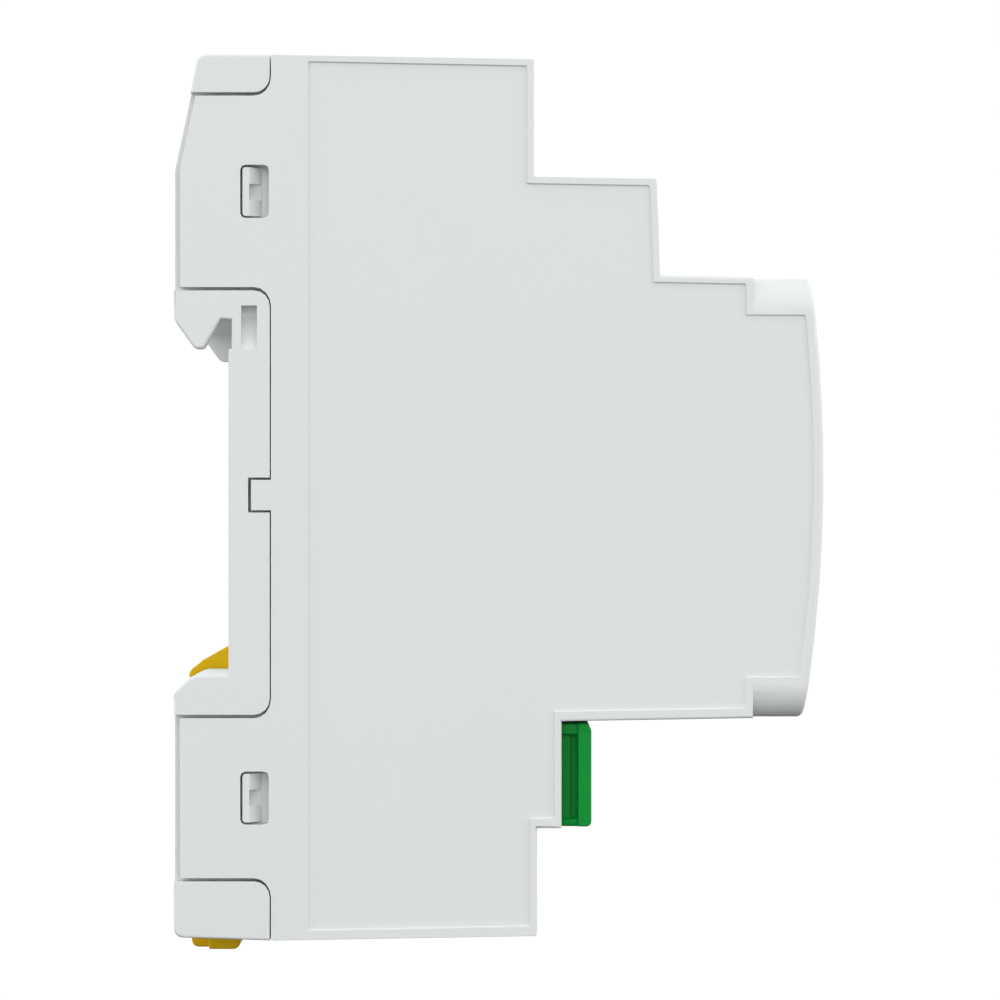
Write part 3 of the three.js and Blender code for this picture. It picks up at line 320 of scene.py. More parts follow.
def round_edges(piece, width_of, segments=3):
    """Rounds each sharp edge by width_of(edge, convex) metres, in one pass so that corners meet."""
    work = bmesh.new()
    work.from_mesh(piece.data)
    weight = work.edges.layers.float.new("bevel_weight_edge")
    widths = {}
    for edge in work.edges:
        if len(edge.link_faces) == 2 and edge.calc_face_angle() > SHARP_ANGLE:
            width = min(width_of(edge, edge.is_convex), room_beside(edge))
            if width > 0:
                widths[edge] = width
    widest = max(widths.values())
    for edge, width in widths.items():
        edge[weight] = width / widest
    work.to_mesh(piece.data)
    work.free()
    add_modifier(
        piece,
        "BEVEL",
        limit_method="WEIGHT",
        width=widest,
        segments=segments,
        use_clamp_overlap=False,
        loop_slide=True,
    )
    mark_rub_and_sheen(piece)
    smooth(piece)


def mark_rub_and_sheen(piece):
    """Stores where hands and tools rub and a painted sheen lies: rounded edges, away from large faces.
    """
    work = bmesh.new()
    work.from_mesh(piece.data)
    values = [
        float(all(face.calc_area() < LARGE_FACE for face in vertex.link_faces)) for vertex in work.verts
    ]
    work.free()
    rub_and_sheen = piece.data.attributes.new("rub_and_sheen", "FLOAT", "POINT")
    rub_and_sheen.data.foreach_set("value", values)


def smooth(piece):
    """Smooth shading that keeps flat faces flat."""
    make_active(piece)
    bpy.ops.object.shade_smooth_by_angle(angle=SMOOTH_ANGLE)
    add_modifier(piece, "WEIGHTED_NORMAL", mode="FACE_AREA", weight=50, keep_sharp=True)


def span(edge, axis):
    """Lowest and highest coordinate of an edge along an axis."""
    values = [vertex.co[axis] for vertex in edge.verts]
    return min(values), max(values)


def dress(piece, material, slot, body, *replaced):
    """Gives a piece its material, its body and the frame nodes that it stands for; slot is not used."""
    piece.data.materials.clear()
    piece.data.materials.append(material)
    if replaced:
        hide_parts(*replaced)
    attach(piece, body)
    return piece


def paint(node, material):
    """Gives a frame node a better material."""
    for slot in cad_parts[node].material_slots:
        slot.material = material


# ------------------------------------------------------------------ material helpers
def new_material(name, **values):
    """A Principled material, with plain values set on the shader's own sockets."""
    material = bpy.data.materials.new(name)
    material.use_nodes = True
    shader = material.node_tree.nodes["Principled BSDF"]
    for socket, value in values.items():
        label = socket.replace("_", " ").title().replace("Ior", "IOR")
        shader.inputs[label].default_value = value
    return material, shader


def add_node(tree, kind, **values):
    node = tree.nodes.new(kind)
    for name, value in values.items():
        if name in node.inputs:
            node.inputs[name].default_value = value
        else:
            setattr(node, name, value)
    return node


def feed(tree, socket, source):
    """Links another node's socket to this one, or sets this one's value."""
    if isinstance(source, bpy.types.NodeSocket):
        tree.links.new(source, socket)
    else:
        socket.default_value = source


def arithmetic(tree, operation, *sources, **values):
    """A Math node fed with numbers and sockets in order; gives its output socket."""
    node = add_node(tree, "ShaderNodeMath", operation=operation, **values)
    for socket, source in zip(node.inputs, sources):
        feed(tree, socket, source)
    return node.outputs[0]


# First input, second input and output of a Mix node, for numbers and for colours.
MIX_SOCKETS = {"FLOAT": (2, 3, 0), "RGBA": (6, 7, 2)}


def blend(tree, kind, factor, first, second):
    """A Mix node of two numbers or two colours; gives its output socket."""
    node = add_node(tree, "ShaderNodeMix", data_type=kind)
    low, high, result = MIX_SOCKETS[kind]
    feed(tree, node.inputs["Factor"], factor)
    feed(tree, node.inputs[low], first)
    feed(tree, node.inputs[high], second)
    return node.outputs[result]


def blend_shaders(tree, factor, first, second):
    """A Mix Shader node; gives its output socket."""
    node = add_node(tree, "ShaderNodeMixShader")
    for socket, source in zip(node.inputs, (factor, first, second)):
        feed(tree, socket, source)
    return node.outputs["Shader"]


NUMBER, TINT, VECTOR = "NodeSocketFloat", "NodeSocketColor", "NodeSocketVector"
FINISH = [("Colour", TINT), ("Roughness", NUMBER), ("Normal", VECTOR)]


def new_group(name, inputs):
    """A node group that gives a finish, with its named inputs, and its input and output nodes."""
    group = bpy.data.node_groups.new(name, "ShaderNodeTree")
    for label, kind, default in inputs:
        socket = group.interface.new_socket(label, in_out="INPUT", socket_type=kind)
        socket.default_value = default
    for label, kind in FINISH:
        group.interface.new_socket(label, in_out="OUTPUT", socket_type=kind)
    return group, group.nodes.new("NodeGroupInput"), group.nodes.new("NodeGroupOutput")


def moulding_group():
    """Eroded moulding texture: cloudy colour, uneven gloss and a fine grain in the surface."""
    group, start, end = new_group(
        "moulding texture",
        [
            ("Colour", TINT, (0.7, 0.7, 0.7, 1.0)),
            ("Shade", NUMBER, 0.03),
            ("Roughness", NUMBER, 0.45),
            ("Grain Scale", NUMBER, 8000.0),
            ("Grain Depth", NUMBER, 0.3),
            ("Rub And Sheen", NUMBER, 0.5),
        ],
    )
    given = start.outputs
    link = group.links.new
    place = add_node(group, "ShaderNodeTexCoord")
    grain = add_node(group, "ShaderNodeTexNoise", Detail=3.0, Roughness=0.6)
    pits = add_node(group, "ShaderNodeTexVoronoi")
    cloud = add_node(group, "ShaderNodeTexNoise", Scale=90.0, Detail=4.0, Roughness=0.55)
    flow = add_node(group, "ShaderNodeTexNoise", Scale=38.0, Detail=2.0, Distortion=0.8)
    for node in (grain, pits, cloud, flow):
        link(place.outputs["Object"], node.inputs["Vector"])
    link(given["Grain Scale"], grain.inputs["Scale"])
    link(arithmetic(group, "MULTIPLY", given["Grain Scale"], 0.45), pits.inputs["Scale"])

    # colour: a faint cloudiness with darker specks between the grains
    swing = arithmetic(group, "MULTIPLY_ADD", cloud.outputs["Fac"], 2.0, -1.0)
    speck = arithmetic(group, "MULTIPLY_ADD", grain.outputs["Fac"], 0.6, -0.3)
    uneven = arithmetic(group, "ADD", swing, speck)
    shade = arithmetic(group, "MULTIPLY_ADD", uneven, given["Shade"], 1.0)

    # rubbed edges with a painted sheen: broken up by the clouds, paler as a painted highlight, and
    # glossier
    edge = add_node(group, "ShaderNodeAttribute", attribute_name="rub_and_sheen")
    worn_and_sheen = arithmetic(group, "MULTIPLY", edge.outputs["Fac"], cloud.outputs["Fac"])
    rub_and_sheen = arithmetic(group, "MULTIPLY", worn_and_sheen, given["Rub And Sheen"])
    tinted = add_node(group, "ShaderNodeVectorMath", operation="SCALE")
    link(given["Colour"], tinted.inputs[0])
    # the paler colour on the rounded edges is a painted highlight as well as wear
    link(arithmetic(group, "MULTIPLY_ADD", rub_and_sheen, 0.08, shade), tinted.inputs["Scale"])
    link(tinted.outputs[0], end.inputs["Colour"])

    # gloss: slightly uneven along the flow of the plastic
    gloss = arithmetic(group, "MULTIPLY_ADD", flow.outputs["Fac"], 0.16, -0.08)
    rough = arithmetic(group, "ADD", gloss, given["Roughness"])
    link(arithmetic(group, "MULTIPLY_ADD", rub_and_sheen, -0.3, rough, use_clamp=True), end.inputs["Roughness"])

    # surface: grains with shallow pits
    bump = add_node(group, "ShaderNodeBump", Distance=0.00002)
    link(given["Grain Depth"], bump.inputs["Strength"])
    height = arithmetic(group, "MULTIPLY_ADD", pits.outputs["Distance"], 0.5, grain.outputs["Fac"])
    link(height, bump.inputs["Height"])
    link(bump.outputs["Normal"], end.inputs["Normal"])
    return group


def metal_group():
    """Rolled or drawn metal: fine lines along one axis, tarnish clouds and small scratches."""
    group, start, end = new_group(
        "rolled metal",
        [
            ("Colour", TINT, (0.7, 0.7, 0.7, 1.0)),
            ("Tarnish", TINT, (0.4, 0.36, 0.3, 1.0)),
            ("Roughness", NUMBER, 0.3),
            ("Line Scale", NUMBER, 900.0),
        ],
    )
    given = start.outputs
    link = group.links.new
    place = add_node(group, "ShaderNodeTexCoord")
    stretch = add_node(group, "ShaderNodeMapping", Scale=(0.06, 1.0, 0.3))
    lines = add_node(group, "ShaderNodeTexNoise", Detail=3.0, Roughness=0.7)
    cloud = add_node(group, "ShaderNodeTexNoise", Scale=240.0, Detail=3.0)
    link(place.outputs["Object"], stretch.inputs["Vector"])
    link(stretch.outputs["Vector"], lines.inputs["Vector"])
    link(place.outputs["Object"], cloud.inputs["Vector"])
    link(given["Line Scale"], lines.inputs["Scale"])
    patch = add_node(
        group, "ShaderNodeMapRange", **{"From Min": 0.5, "From Max": 0.85, "To Max": 0.45}
    )
    link(cloud.outputs["Fac"], patch.inputs["Value"])
    tint = blend(group, "RGBA", patch.outputs["Result"], given["Colour"], given["Tarnish"])
    link(tint, end.inputs["Colour"])
    rough = arithmetic(
        group, "MULTIPLY_ADD", lines.outputs["Fac"], 0.25, given["Roughness"], use_clamp=True
    )
    link(rough, end.inputs["Roughness"])
    bump = add_node(group, "ShaderNodeBump", Strength=0.25, Distance=0.00001)
    link(lines.outputs["Fac"], bump.inputs["Height"])
    link(bump.outputs["Normal"], end.inputs["Normal"])
    return group


def textured(name, texture_name, build, inputs, **values):
    """A material whose colour, roughness and normal come from a texture group, built only once."""
    found = bpy.data.materials.get(name)
    if found:
        return found
    material, shader = new_material(name, **values)
    tree = material.node_tree
    texture = tree.nodes.new("ShaderNodeGroup")
    texture.node_tree = bpy.data.node_groups.get(texture_name) or build()
    for label, value in inputs.items():
        texture.inputs[label].default_value = value
    tree.links.new(texture.outputs["Colour"], shader.inputs["Base Color"])
    tree.links.new(texture.outputs["Roughness"], shader.inputs["Roughness"])
    tree.links.new(texture.outputs["Normal"], shader.inputs["Normal"])
    return material


def moulded(name, tint, roughness, shade=0.03, grain=0.12 * MM, depth=0.3, **values):
    """A moulded plastic with the shared texture."""
    inputs = {
        "Colour": (*tint, 1.0),
        "Shade": shade,
        "Roughness": roughness,
        "Grain Scale": 1.0 / grain,
        "Grain Depth": depth,
    }
    return textured(name, "moulding texture", moulding_group, inputs, **values)


def rolled(name, tint, tarnish, roughness):
    """A rolled strip or drawn wire."""
    inputs = {"Colour": (*tint, 1.0), "Tarnish": (*tarnish, 1.0), "Roughness": roughness}
    return textured(name, "rolled metal", metal_group, inputs, metallic=1.0)


def clear(name, tint, roughness):
    """Polished clear plastic that lets lamps through."""
    found = bpy.data.materials.get(name)
    if found:
        return found
    material, shader = new_material(
        name,
        base_color=(*tint, 1.0),
        roughness=roughness,
        ior=1.5,
        transmission_weight=1.0,
        specular_ior_level=0.25,
    )
    tree = material.node_tree
    link = tree.links.new
    place = add_node(tree, "ShaderNodeTexCoord")
    haze = add_node(tree, "ShaderNodeTexNoise", Scale=160.0, Detail=4.0)
    link(place.outputs["Object"], haze.inputs["Vector"])
    film = add_node(
        tree, "ShaderNodeMapRange", **{"To Min": roughness * 0.6, "To Max": roughness * 1.6}
    )
    link(haze.outputs["Fac"], film.inputs["Value"])
    link(film.outputs["Result"], shader.inputs["Roughness"])
    wave = add_node(tree, "ShaderNodeTexNoise", Scale=55.0, Detail=1.0)
    link(place.outputs["Object"], wave.inputs["Vector"])
    ripple = add_node(tree, "ShaderNodeBump", Strength=0.05, Distance=0.0001)
    link(wave.outputs["Fac"], ripple.inputs["Height"])
    link(ripple.outputs["Normal"], shader.inputs["Normal"])
    path = add_node(tree, "ShaderNodeLightPath")
    through = add_node(tree, "ShaderNodeBsdfTransparent", Color=(*tint, 1.0))
    mix = blend_shaders(
        tree, path.outputs["Is Shadow Ray"], shader.outputs["BSDF"], through.outputs["BSDF"]
    )
    link(mix, tree.nodes["Material Output"].inputs["Surface"])
    return material


def case_plastic():
    settings = bpy.context.scene.timer_case
    return moulded(
        "satin grey moulding",
        settings.body,
        0.5,
        shade=0.008,
        grain=settings.grain,
        depth=0.2,
        specular_ior_level=0.3,
    )


def spring_steel():
    return rolled("bright spring steel", tone(196, 198, 201), tone(120, 112, 98), 0.22)


def tin_plate():
    return rolled("tin plated copper", tone(201, 196, 184), tone(142, 122, 94), 0.3)


def dark_moulding():
    return moulded("black component moulding", tone(38, 39, 42), 0.5, shade=0.08, depth=0.35)


def carrier_plastic():
    return moulded("glass filled grey plastic", tone(150, 156, 160), 0.6, shade=0.06, depth=0.5)


# ------------------------------------------------------------------ front housing and rear base
class TIMER_OT_front_housing(bpy.types.Operator):
    """Front housing: rounded steps, sunk side panels with hollow fillets, slots and wire entries"""

    bl_idname = "rail_timer.front_housing"
    bl_label = "Front Housing"

    def execute(self, context):
        settings = context.scene.timer_case
        piece = frame_copy("front_housing", "case_front")
        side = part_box("front_housing")[1].y
        panel = side - settings.rim_depth
        joint_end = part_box("rear_base")[1].x + settings.tongue_reach
        front_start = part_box("display_board")[1].x + settings.front_reach
        bay_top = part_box("opener_1")[1].z + MM

        def width_of(edge, convex):
            low, high = span(edge, 1)
            middle = (edge.verts[0].co + edge.verts[1].co) / 2
            outside = min(abs(low), abs(high)) > panel and low * high > 0
            at_nose = abs(middle.x - settings.nose_start) < LOOSE / 2
            if at_nose and not convex:
                return 0.0
            if outside:
                if not convex:
                    return settings.panel_fillet
                walls = [face for face in edge.link_faces if abs(face.normal.y) < WALL_LEAN]
                if any(all(abs(vertex.co.y) > panel for vertex in wall.verts) for wall in walls):
                    return settings.panel_lip
                joint = at_nose or middle.x < joint_end
                return settings.joint_edge if joint else settings.outer_edge
            if low < TIGHT - side and high > side - TIGHT:
                return settings.step_edge
            if at_nose:
                return 0.0
            front = middle.x > front_start
            terminals = middle.z < bay_top and middle.x > settings.entry_start
            return settings.fine_edge if front or terminals else 0.0

        round_edges(piece, width_of)
        dress(piece, case_plastic(), "case_plastic", "case", "front_housing")
        return {"FINISHED"}


class TIMER_OT_rear_base(bpy.types.Operator):
    """Rear base: hook teeth, rail seat, latch channel and the frame that holds the housing's tongues"""

    bl_idname = "rail_timer.rear_base"
    bl_label = "Rear Base"

    def execute(self, context):
        settings = context.scene.timer_case
        piece = frame_copy("rear_base", "case_base")
        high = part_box("rear_base")[1]
        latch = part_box("din_latch")[1]
        inside = high.y - settings.snap_depth

        def width_of(edge, convex):
            middle = (edge.verts[0].co + edge.verts[1].co) / 2
            hidden = abs(middle.y) < inside and middle.x > latch.x
            channel = abs(middle.y) < latch.y and middle.x < latch.x
            if hidden and not channel:
                return 0.0
            sunk = max(abs(vertex.co.y) for vertex in edge.verts) < high.y - LOOSE
            if sunk or not convex:
                return settings.joint_edge
            bottom, top = span(edge, 2)
            level = top - bottom < LOOSE and abs(middle.z) > settings.band_start
            joint = level or middle.x > settings.seat_depth
            end = abs(middle.z) > high.z - MM
            return settings.joint_edge if joint and not end else settings.outer_edge

        round_edges(piece, width_of, segments=2)
        dress(piece, case_plastic(), "case_plastic", "case", "rear_base")
        return {"FINISHED"}


# ------------------------------------------------------------------ rail latch
class TIMER_OT_rail_latch(bpy.types.Operator):
    """Yellow rail latch with its sprung catch and pull tab"""

    bl_idname = "rail_timer.rail_latch"
    bl_label = "Rail Latch"

    def execute(self, context):
        settings = context.scene.timer_latch
        piece = frame_copy("din_latch", "rail_latch")
        round_edges(piece, lambda edge, convex: settings.edge, segments=2)
        finish = moulded(
            "latch yellow", settings.body, 0.42, shade=0.03, depth=0.2, specular_ior_level=0.1
        )
        dress(piece, finish, "latch_plastic", "rail_latch", "din_latch")
        return {"FINISHED"}


class TIMER_OT_latch_spring(bpy.types.Operator):
    """Compression spring of the latch, wound from round wire"""

    bl_idname = "rail_timer.latch_spring"
    bl_label = "Latch Spring"

    def execute(self, context):
        settings = context.scene.timer_latch
        low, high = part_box("latch_spring")
        centre = (low + high) / 2
        radius = settings.coil / 2
        wire = settings.wire / 2
        rise = high.z - low.z - 2 * wire
        deselect_all()
        bpy.ops.mesh.primitive_circle_add(
            vertices=10,
            radius=wire,
            location=(centre.x + radius, centre.y, low.z + wire),
            rotation=(math.pi / 2, 0.0, 0.0),
        )
        piece = bpy.context.object
        piece.name = piece.data.name = "spring_coil"
        settle(piece)
        bpy.context.scene.cursor.location = (centre.x, centre.y, 0.0)
        bpy.ops.object.origin_set(type="ORIGIN_CURSOR")
        add_modifier(
            piece,
            "SCREW",
            axis="Z",
            angle=math.tau,
            screw_offset=rise / settings.turns,
            iterations=settings.turns,
            steps=28,
            render_steps=28,
            use_smooth_shade=True,
        )
        settle(piece)
        bpy.context.scene.cursor.location = (0.0, 0.0, 0.0)
        select_edges(piece, lambda edge: len(edge.link_faces) == 1)
        edit(piece, lambda: bpy.ops.mesh.fill_holes(sides=0))
        edit(piece, select_everything, lambda: bpy.ops.mesh.normals_make_consistent(inside=False))
        smooth(piece)
        dress(piece, spring_steel(), "spring_steel", "case", "latch_spring")
        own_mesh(piece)
        return {"FINISHED"}


# ------------------------------------------------------------------ terminals
class TIMER_OT_openers(bpy.types.Operator):
    """Five green push-in openers with hollowed sides"""

    bl_idname = "rail_timer.openers"
    bl_label = "Terminal Openers"

    def execute(self, context):
        settings = context.scene.timer_terminals
        finish = moulded(
            "opener green", settings.body, 0.42, shade=0.03, depth=0.18, specular_ior_level=0.1
        )
        first = frame_copy("opener_1", "opener_key_1")
        round_edges(first, lambda edge, convex: settings.edge if convex else settings.edge / 2, 2)
        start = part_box("opener_1")[0]
        for index in range(2, POLES + 1):
            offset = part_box(f"opener_{index}")[0] - start
            twin = shifted_copy(first, f"opener_key_{index}", offset)
            dress(twin, finish, "opener_plastic", f"opener_body_{index}", f"opener_{index}")
        dress(first, finish, "opener_plastic", "opener_body_1", "opener_1")
        return {"FINISHED"}


class TIMER_OT_clamps(bpy.types.Operator):
    """Carrier, busbars and clamp springs behind the wire entries"""

    bl_idname = "rail_timer.clamps"
    bl_label = "Clamps"

    def execute(self, context):
        paint("terminal_carrier", carrier_plastic())
        for index in range(1, POLES + 1):
            paint(f"busbar_{index}", tin_plate())
            paint(f"clamp_spring_{index}", spring_steel())
        return {"FINISHED"}


# ------------------------------------------------------------------ flap, fascia and display
class TIMER_OT_flap(bpy.types.Operator):
    """Clear flap with its hinge knuckles and pins"""

    bl_idname = "rail_timer.flap"
    bl_label = "Front Flap"

    def execute(self, context):
        settings = context.scene.timer_display
        piece = frame_copy("display_flap", "clear_flap")
        round_edges(piece, lambda edge, convex: settings.edge if convex else 0.0, segments=2)
        finish = clear("clear flap plastic", tone(236, 240, 243), 0.04)
        dress(piece, finish, "clear_flap", "flap", "display_flap")
        return {"FINISHED"}


class TIMER_OT_fascia(bpy.types.Operator):
    """Fascia plate with its window and button holes, the window and the backlight behind it"""

    bl_idname = "rail_timer.fascia"
    bl_label = "Fascia"

    def execute(self, context):
        settings = context.scene.timer_display
        plate = frame_copy("fascia_plate", "fascia")
        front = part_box("fascia_plate")[1].x

        def width_of(edge, convex):
            return settings.edge if span(edge, 0)[0] > front - TIGHT else 0.0

        round_edges(plate, width_of, segments=2)
        finish = moulded("fascia grey", settings.fascia, 0.46, shade=0.015, grain=0.08 * MM, depth=0.1)
        dress(plate, finish, "fascia_plastic", "case", "fascia_plate")
        paint("display_window", clear("clear window", tone(240, 243, 244), 0.02))
        paint("backlight_guide", clear("light guide", tone(232, 238, 240), 0.25))
        return {"FINISHED"}


# Which of the seven bars each figure lights: top, upper left, upper right, middle, lower left,
# lower right and bottom.
FIGURES = (
    "1110111",
    "0010010",
    "1011101",
    "1011011",
    "0111010",
    "1101011",
    "1101111",
    "1010010",
    "1111111",
    "1111011",
)
# Layout of the display. The first six are shares of a figure's height, width or stroke.
FIGURE_WIDTH = 0.52
STROKE = 0.13
BAR_GAP = 0.25
FIGURE_PITCH = 1.42
COLON_ROOM = 0.35
COLON_RISE = 0.2
BAR_POINT = 0.45                    # of a bar's thickness, at each corner
INK_DEPTH = 0.04 * MM
TIME_RISE = 0.3 * MM                # the figures' middle above the window's
DAYS = 7
DAY_MARKED = 3
DAY_PITCH = 3.3 * MM
DAY_SIZE = 2.3 * MM
DAY_DROP = 1.3 * MM                 # from the window's upper edge
DAY_HEIGHTS = (0.3 * MM, 0.7 * MM)  # plain and marked
HOURS = 24
HOURS_ON = (*range(6, 9), *range(17, 22))
HOUR_PITCH = 1.05 * MM
HOUR_SIZE = 0.55 * MM
HOUR_FOOT = 0.8 * MM                # from the window's lower edge
HOUR_HEIGHTS = (0.35 * MM, 1.1 * MM)


class TIMER_OT_display(bpy.types.Operator):
    """Liquid crystal display with the time, a row of weekday marks and a bar of hours"""

    bl_idname = "rail_timer.display"
    bl_label = "Display"

    def execute(self, context):
        settings = context.scene.timer_display
        glass = moulded("display glass", settings.glass, 0.22, shade=0.05, grain=0.3 * MM, depth=0.05)
        paint("lcd_panel", glass)
        bars = [self.bar(*place) for place in (*self.time(settings), *self.marks())]
        figures = join("display_figures", bars)
        ink = moulded("display ink", settings.ink, 0.3, shade=0.1, depth=0.05)
        dress(figures, ink, "lcd", "case")
        return {"FINISHED"}

    def bar(self, y, z, across, up):
        """One lit bar with pointed ends, centred at y and z."""
        corner = Vector((0.0, across / 2, up / 2))
        place = Vector((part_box("lcd_panel")[1].x, y, z))
        depth = Vector((INK_DEPTH, 0.0, 0.0))
        piece = add_box("bar", place - corner + depth / 4, place + corner + depth)
        select_edges(piece, lambda edge: span(edge, 0)[1] - span(edge, 0)[0] > INK_DEPTH / 2)
        point = min(across, up) * BAR_POINT
        edit(piece, lambda: bpy.ops.mesh.bevel(offset=point, segments=1, affect="EDGES"))
        return piece

    def time(self, settings):
        """Place and size of each bar of the time."""
        low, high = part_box("display_window")
        middle = (low.z + high.z) / 2 + TIME_RISE
        height = settings.figure_height
        wide = height * FIGURE_WIDTH
        stroke = height * STROKE
        digits = f"{settings.hours:02d}{settings.minutes:02d}"
        for index, digit in enumerate(digits):
            room = COLON_ROOM if index > 1 else -COLON_ROOM
            y = ((index - 1.5) * FIGURE_PITCH + room) * wide
            yield from self.figure(int(digit), y, middle, wide - stroke, (height - stroke) / 2, stroke)
        for up in (-COLON_RISE, COLON_RISE):
            yield 0.0, middle + up * height, stroke, stroke

    def figure(self, value, y, z, reach, rise, stroke):
        """Place and size of each lit bar of a figure, centred at y and z."""
        places = (
            (0, rise, True),
            (-reach / 2, rise / 2, False),
            (reach / 2, rise / 2, False),
            (0, 0, True),
            (-reach / 2, -rise / 2, False),
            (reach / 2, -rise / 2, False),
            (0, -rise, True),
        )
        for lit, (across, up, level) in zip(FIGURES[value], places):
            if lit == "1":
                long = (reach if level else rise) - stroke * BAR_GAP
                size = (long, stroke) if level else (stroke, long)
                yield y + across, z + up, *size

    def marks(self):
        """Place and size of the weekday marks above the time and of the hours below it."""
        low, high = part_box("display_window")
        for day in range(DAYS):
            y = (day - (DAYS - 1) / 2) * DAY_PITCH
            yield y, high.z - DAY_DROP, DAY_SIZE, DAY_HEIGHTS[day == DAY_MARKED]
        for hour in range(HOURS):
            y = (hour - (HOURS - 1) / 2) * HOUR_PITCH
            tall = HOUR_HEIGHTS[hour in HOURS_ON]
            yield y, low.z + HOUR_FOOT + tall / 2, HOUR_SIZE, tall


# The strokes of each button's mark: across, up and long in millimetres, and turned by degrees.
LEGENDS = {
    "menu": [(0, 0.9, 2.6, 0), (0, 0, 2.6, 0), (0, -0.9, 2.6, 0)],
    "minus": [(0, 0, 2.4, 0)],
    "plus": [(0, 0, 2.4, 0), (0, 0, 2.4, 90)],
    "ok": [(-0.75, -0.35, 1.5, 45), (0.45, 0.1, 2.7, -50)],
}
LEGEND_WIDTH = 0.4 * MM
LEGEND_DEPTH = 0.06 * MM
LEGEND_ROUND = 0.19 * MM            # round ends of each stroke
BUTTON_ROUND = 1.6                  # the buttons' edges are rounder than the fascia's by this


class TIMER_OT_buttons(bpy.types.Operator):
    """Four buttons with a mark on each: bars, minus, plus and a tick"""

    bl_idname = "rail_timer.buttons"
    bl_label = "Buttons"

    def execute(self, context):
        settings = context.scene.timer_display
        finish = moulded("button grey", settings.button, 0.5, shade=0.04, grain=0.08 * MM, depth=0.12)
        legend = moulded("button legend", settings.legend, 0.4, shade=0.02)
        for name in BUTTONS:
            node = f"button_{name}"
            piece = frame_copy(node, f"key_{name}")
            low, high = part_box(node)

            def width_of(edge, convex):
                front = span(edge, 0)[0] > high.x - TIGHT
                return settings.edge * BUTTON_ROUND if front else 0.0

            round_edges(piece, width_of)
            dress(piece, finish, "button_plastic", f"{name}_button", node)
            middle = (low + high) / 2
            mark = join(
                f"mark_{name}", [self.stroke(high.x, middle, *stroke) for stroke in LEGENDS[name]]
            )
            dress(mark, legend, "button_plastic", f"{name}_button")
        return {"FINISHED"}

    def stroke(self, face, middle, across, up, long, turn):
        """A flat bar with round ends, printed proud of the button's face."""
        half = Vector((LEGEND_DEPTH, long * MM, LEGEND_WIDTH)) / 2
        piece = add_box("stroke", -half, half)
        select_edges(piece, lambda edge: span(edge, 0)[1] - span(edge, 0)[0] > half.x)
        edit(piece, lambda: bpy.ops.mesh.bevel(offset=LEGEND_ROUND, segments=4, affect="EDGES"))
        piece.rotation_euler.x = math.radians(-turn)
        piece.location = (face + half.x, middle.y + across * MM, middle.z + up * MM)
        settle(piece)
        return piece


# ------------------------------------------------------------------ boards
class TIMER_OT_boards(bpy.types.Operator):
    """Both circuit boards with their components"""

    bl_idname = "rail_timer.boards"
    bl_label = "Circuit Boards"

    def execute(self, context):
        laminate = moulded("green solder mask", tone(28, 88, 56), 0.35, shade=0.1, grain=0.4 * MM)
        for node in ("display_board", "power_board"):
            paint(node, laminate)
        black = ["microcontroller", "relay", "bridge_rectifier"]
        black += ["smoothing_capacitor_large", "smoothing_capacitor_small"]
        black += [f"tact_switch_{index}" for index in range(1, 5)]
        for node in black:
            paint(node, dark_moulding())
        for node in ("battery_cell", "battery_clip", "quartz_crystal"):
            paint(node, spring_steel())
        for node in ("ribbon_socket_rear", "ribbon_socket_front", "ribbon_cable"):
            paint(node, carrier_plastic())
        paint("film_capacitor", moulded("capacitor yellow", tone(206, 180, 66), 0.4, shade=0.05))
        paint("varistor", moulded("varistor blue", tone(48, 92, 164), 0.4, shade=0.08))
        paint("fusible_resistor", moulded("resistor lacquer", tone(112, 143, 154), 0.4, shade=0.08))
        return {"FINISHED"}


# ------------------------------------------------------------------ stage
# Strength of the surrounding light against the sine of its height: a bright band low all round.
SKY = (
    (-1.0, 0.08),
    (-0.6, 0.08),
    (-0.3, 0.27),
    (0.0, 1.6),
    (0.15, 2.4),
    (0.3, 2.17),
    (0.5, 1.4),
    (0.75, 0.85),
    (1.0, 1.1),
)
BRIGHTEST = 2.5
FLOOR_RADIUS = 0.75
FLOOR_FADE = (0.12, 0.7)            # from the middle, where the floor starts and ends fading to white


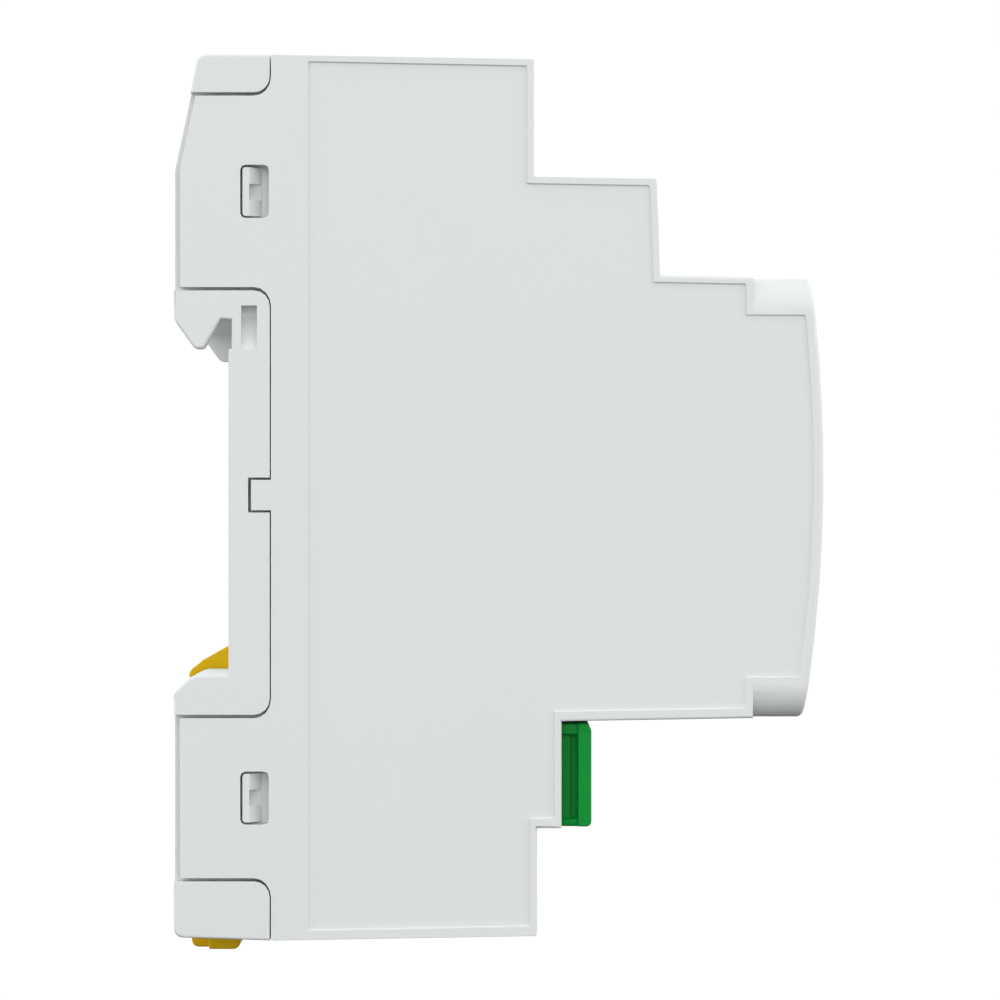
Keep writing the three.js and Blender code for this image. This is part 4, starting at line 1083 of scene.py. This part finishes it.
class TIMER_OT_stage(bpy.types.Operator):
    """Camera, pale floor and soft light"""

    bl_idname = "rail_timer.stage"
    bl_label = "Stage"

    def execute(self, context):
        settings = context.scene.timer_stage
        self.camera(context, settings)
        self.light(context, settings)
        self.floor(settings)
        context.scene.view_settings.view_transform = "Standard"
        return {"FINISHED"}

    def camera(self, context, settings):
        near = cad_low.y - settings.distance
        deselect_all()
        bpy.ops.object.camera_add(
            location=(settings.aim_x, near, settings.aim_z), rotation=(math.pi / 2, 0.0, 0.0)
        )
        camera = context.object
        camera.name = "side_camera"
        camera.data.lens = settings.lens
        camera.data.sensor_width = 36.0
        camera.data.clip_start = 0.01
        camera.data.clip_end = 50.0
        context.scene.camera = camera

    def light(self, context, settings):
        """Light from all round, a little more from the front, and white where the camera looks."""
        world = bpy.data.worlds.new("studio")
        context.scene.world = world
        world.use_nodes = True
        tree = world.node_tree
        link = tree.links.new
        shader = tree.nodes["Background"]
        shader.inputs["Color"].default_value = (1.0, 1.0, 1.0, 1.0)
        place = add_node(tree, "ShaderNodeTexCoord")
        split = add_node(tree, "ShaderNodeSeparateXYZ")
        link(place.outputs["Generated"], split.inputs[0])
        sky = add_node(tree, "ShaderNodeValToRGB")
        link(arithmetic(tree, "MULTIPLY_ADD", split.outputs["Z"], 0.5, 0.5), sky.inputs["Fac"])
        self.grade(sky.color_ramp)
        full = settings.ambient * BRIGHTEST
        forward = arithmetic(tree, "MULTIPLY_ADD", split.outputs["X"], full * settings.forward, full)
        strength = arithmetic(tree, "MULTIPLY", sky.outputs["Color"], forward)
        path = add_node(tree, "ShaderNodeLightPath")
        seen = blend(tree, "FLOAT", path.outputs["Is Camera Ray"], strength, WHITE)
        link(seen, shader.inputs["Strength"])

    def grade(self, ramp):
        """Sets the light's strength from straight below to straight above."""
        ramp.interpolation = "LINEAR"
        for place, value in SKY[1:-1]:
            ramp.elements.new((place + 1) / 2)
        for element, (place, value) in zip(ramp.elements, SKY):
            element.position = (place + 1) / 2
            grey = value / BRIGHTEST
            element.color = (grey, grey, grey, 1.0)

    def floor(self, settings):
        """A pale disc well below the part that fades to white at its edge."""
        deselect_all()
        middle = (cad_low + cad_high) / 2
        level = cad_low.z - settings.floor_drop
        bpy.ops.mesh.primitive_circle_add(
            vertices=96,
            radius=FLOOR_RADIUS,
            fill_type="NGON",
            location=(middle.x, middle.y, level),
        )
        disc = bpy.context.object
        disc.name = disc.data.name = "floor"
        disc.data.materials.append(self.floor_material())

    def floor_material(self):
        """Pale and matt, white towards its edge where the camera looks, and seen from above only."""
        material, shader = new_material("pale floor", roughness=0.9)
        tree = material.node_tree
        link = tree.links.new
        path = add_node(tree, "ShaderNodeLightPath")
        camera = path.outputs["Is Camera Ray"]
        tint = blend(tree, "RGBA", camera, (0.12, 0.12, 0.12, 1.0), (0.5, 0.5, 0.51, 1.0))
        link(tint, shader.inputs["Base Color"])
        place = add_node(tree, "ShaderNodeTexCoord")
        reach = add_node(tree, "ShaderNodeVectorMath", operation="LENGTH")
        link(place.outputs["Object"], reach.inputs[0])
        fade = add_node(tree, "ShaderNodeMapRange", interpolation_type="SMOOTHSTEP")
        fade.inputs["From Min"].default_value, fade.inputs["From Max"].default_value = FLOOR_FADE
        link(reach.outputs["Value"], fade.inputs["Value"])
        outer = arithmetic(tree, "MULTIPLY", fade.outputs["Result"], camera)
        white = add_node(tree, "ShaderNodeEmission", Strength=WHITE)
        top = blend_shaders(tree, outer, shader.outputs["BSDF"], white.outputs["Emission"])
        below = add_node(tree, "ShaderNodeBsdfTransparent")
        facing = add_node(tree, "ShaderNodeNewGeometry")
        sides = blend_shaders(tree, facing.outputs["Backfacing"], top, below.outputs["BSDF"])
        link(sides, tree.nodes["Material Output"].inputs["Surface"])
        return material


# ------------------------------------------------------------------ panel and registration
PIECES = (
    TIMER_OT_front_housing,
    TIMER_OT_rear_base,
    TIMER_OT_rail_latch,
    TIMER_OT_latch_spring,
    TIMER_OT_openers,
    TIMER_OT_clamps,
    TIMER_OT_flap,
    TIMER_OT_fascia,
    TIMER_OT_display,
    TIMER_OT_buttons,
    TIMER_OT_boards,
    TIMER_OT_stage,
)
SETTINGS = {
    "timer_case": CaseSettings,
    "timer_latch": LatchSettings,
    "timer_terminals": TerminalSettings,
    "timer_display": DisplaySettings,
    "timer_stage": StageSettings,
}


class TIMER_PT_pieces(bpy.types.Panel):
    """Lists the settings and the pieces in the order in which they are made."""

    bl_idname = "TIMER_PT_pieces"
    bl_label = "Time Switch"
    bl_space_type = "VIEW_3D"
    bl_region_type = "UI"
    bl_category = "Time Switch"

    def draw(self, context):
        for holder, group in SETTINGS.items():
            box = self.layout.box()
            for name in group.__annotations__:
                box.prop(getattr(context.scene, holder), name)
        for piece in PIECES:
            self.layout.operator(piece.bl_idname)


CLASSES = (*SETTINGS.values(), *PIECES, TIMER_PT_pieces)


def register():
    for item in CLASSES:
        bpy.utils.register_class(item)
    for holder, group in SETTINGS.items():
        setattr(bpy.types.Scene, holder, bpy.props.PointerProperty(type=group))


def unregister():
    for holder in SETTINGS:
        delattr(bpy.types.Scene, holder)
    for item in reversed(CLASSES):
        bpy.utils.unregister_class(item)


def main():
    register()
    for piece in PIECES:
        family, name = piece.bl_idname.split(".")
        getattr(getattr(bpy.ops, family), name)()


if __name__ == "__main__":
    main()
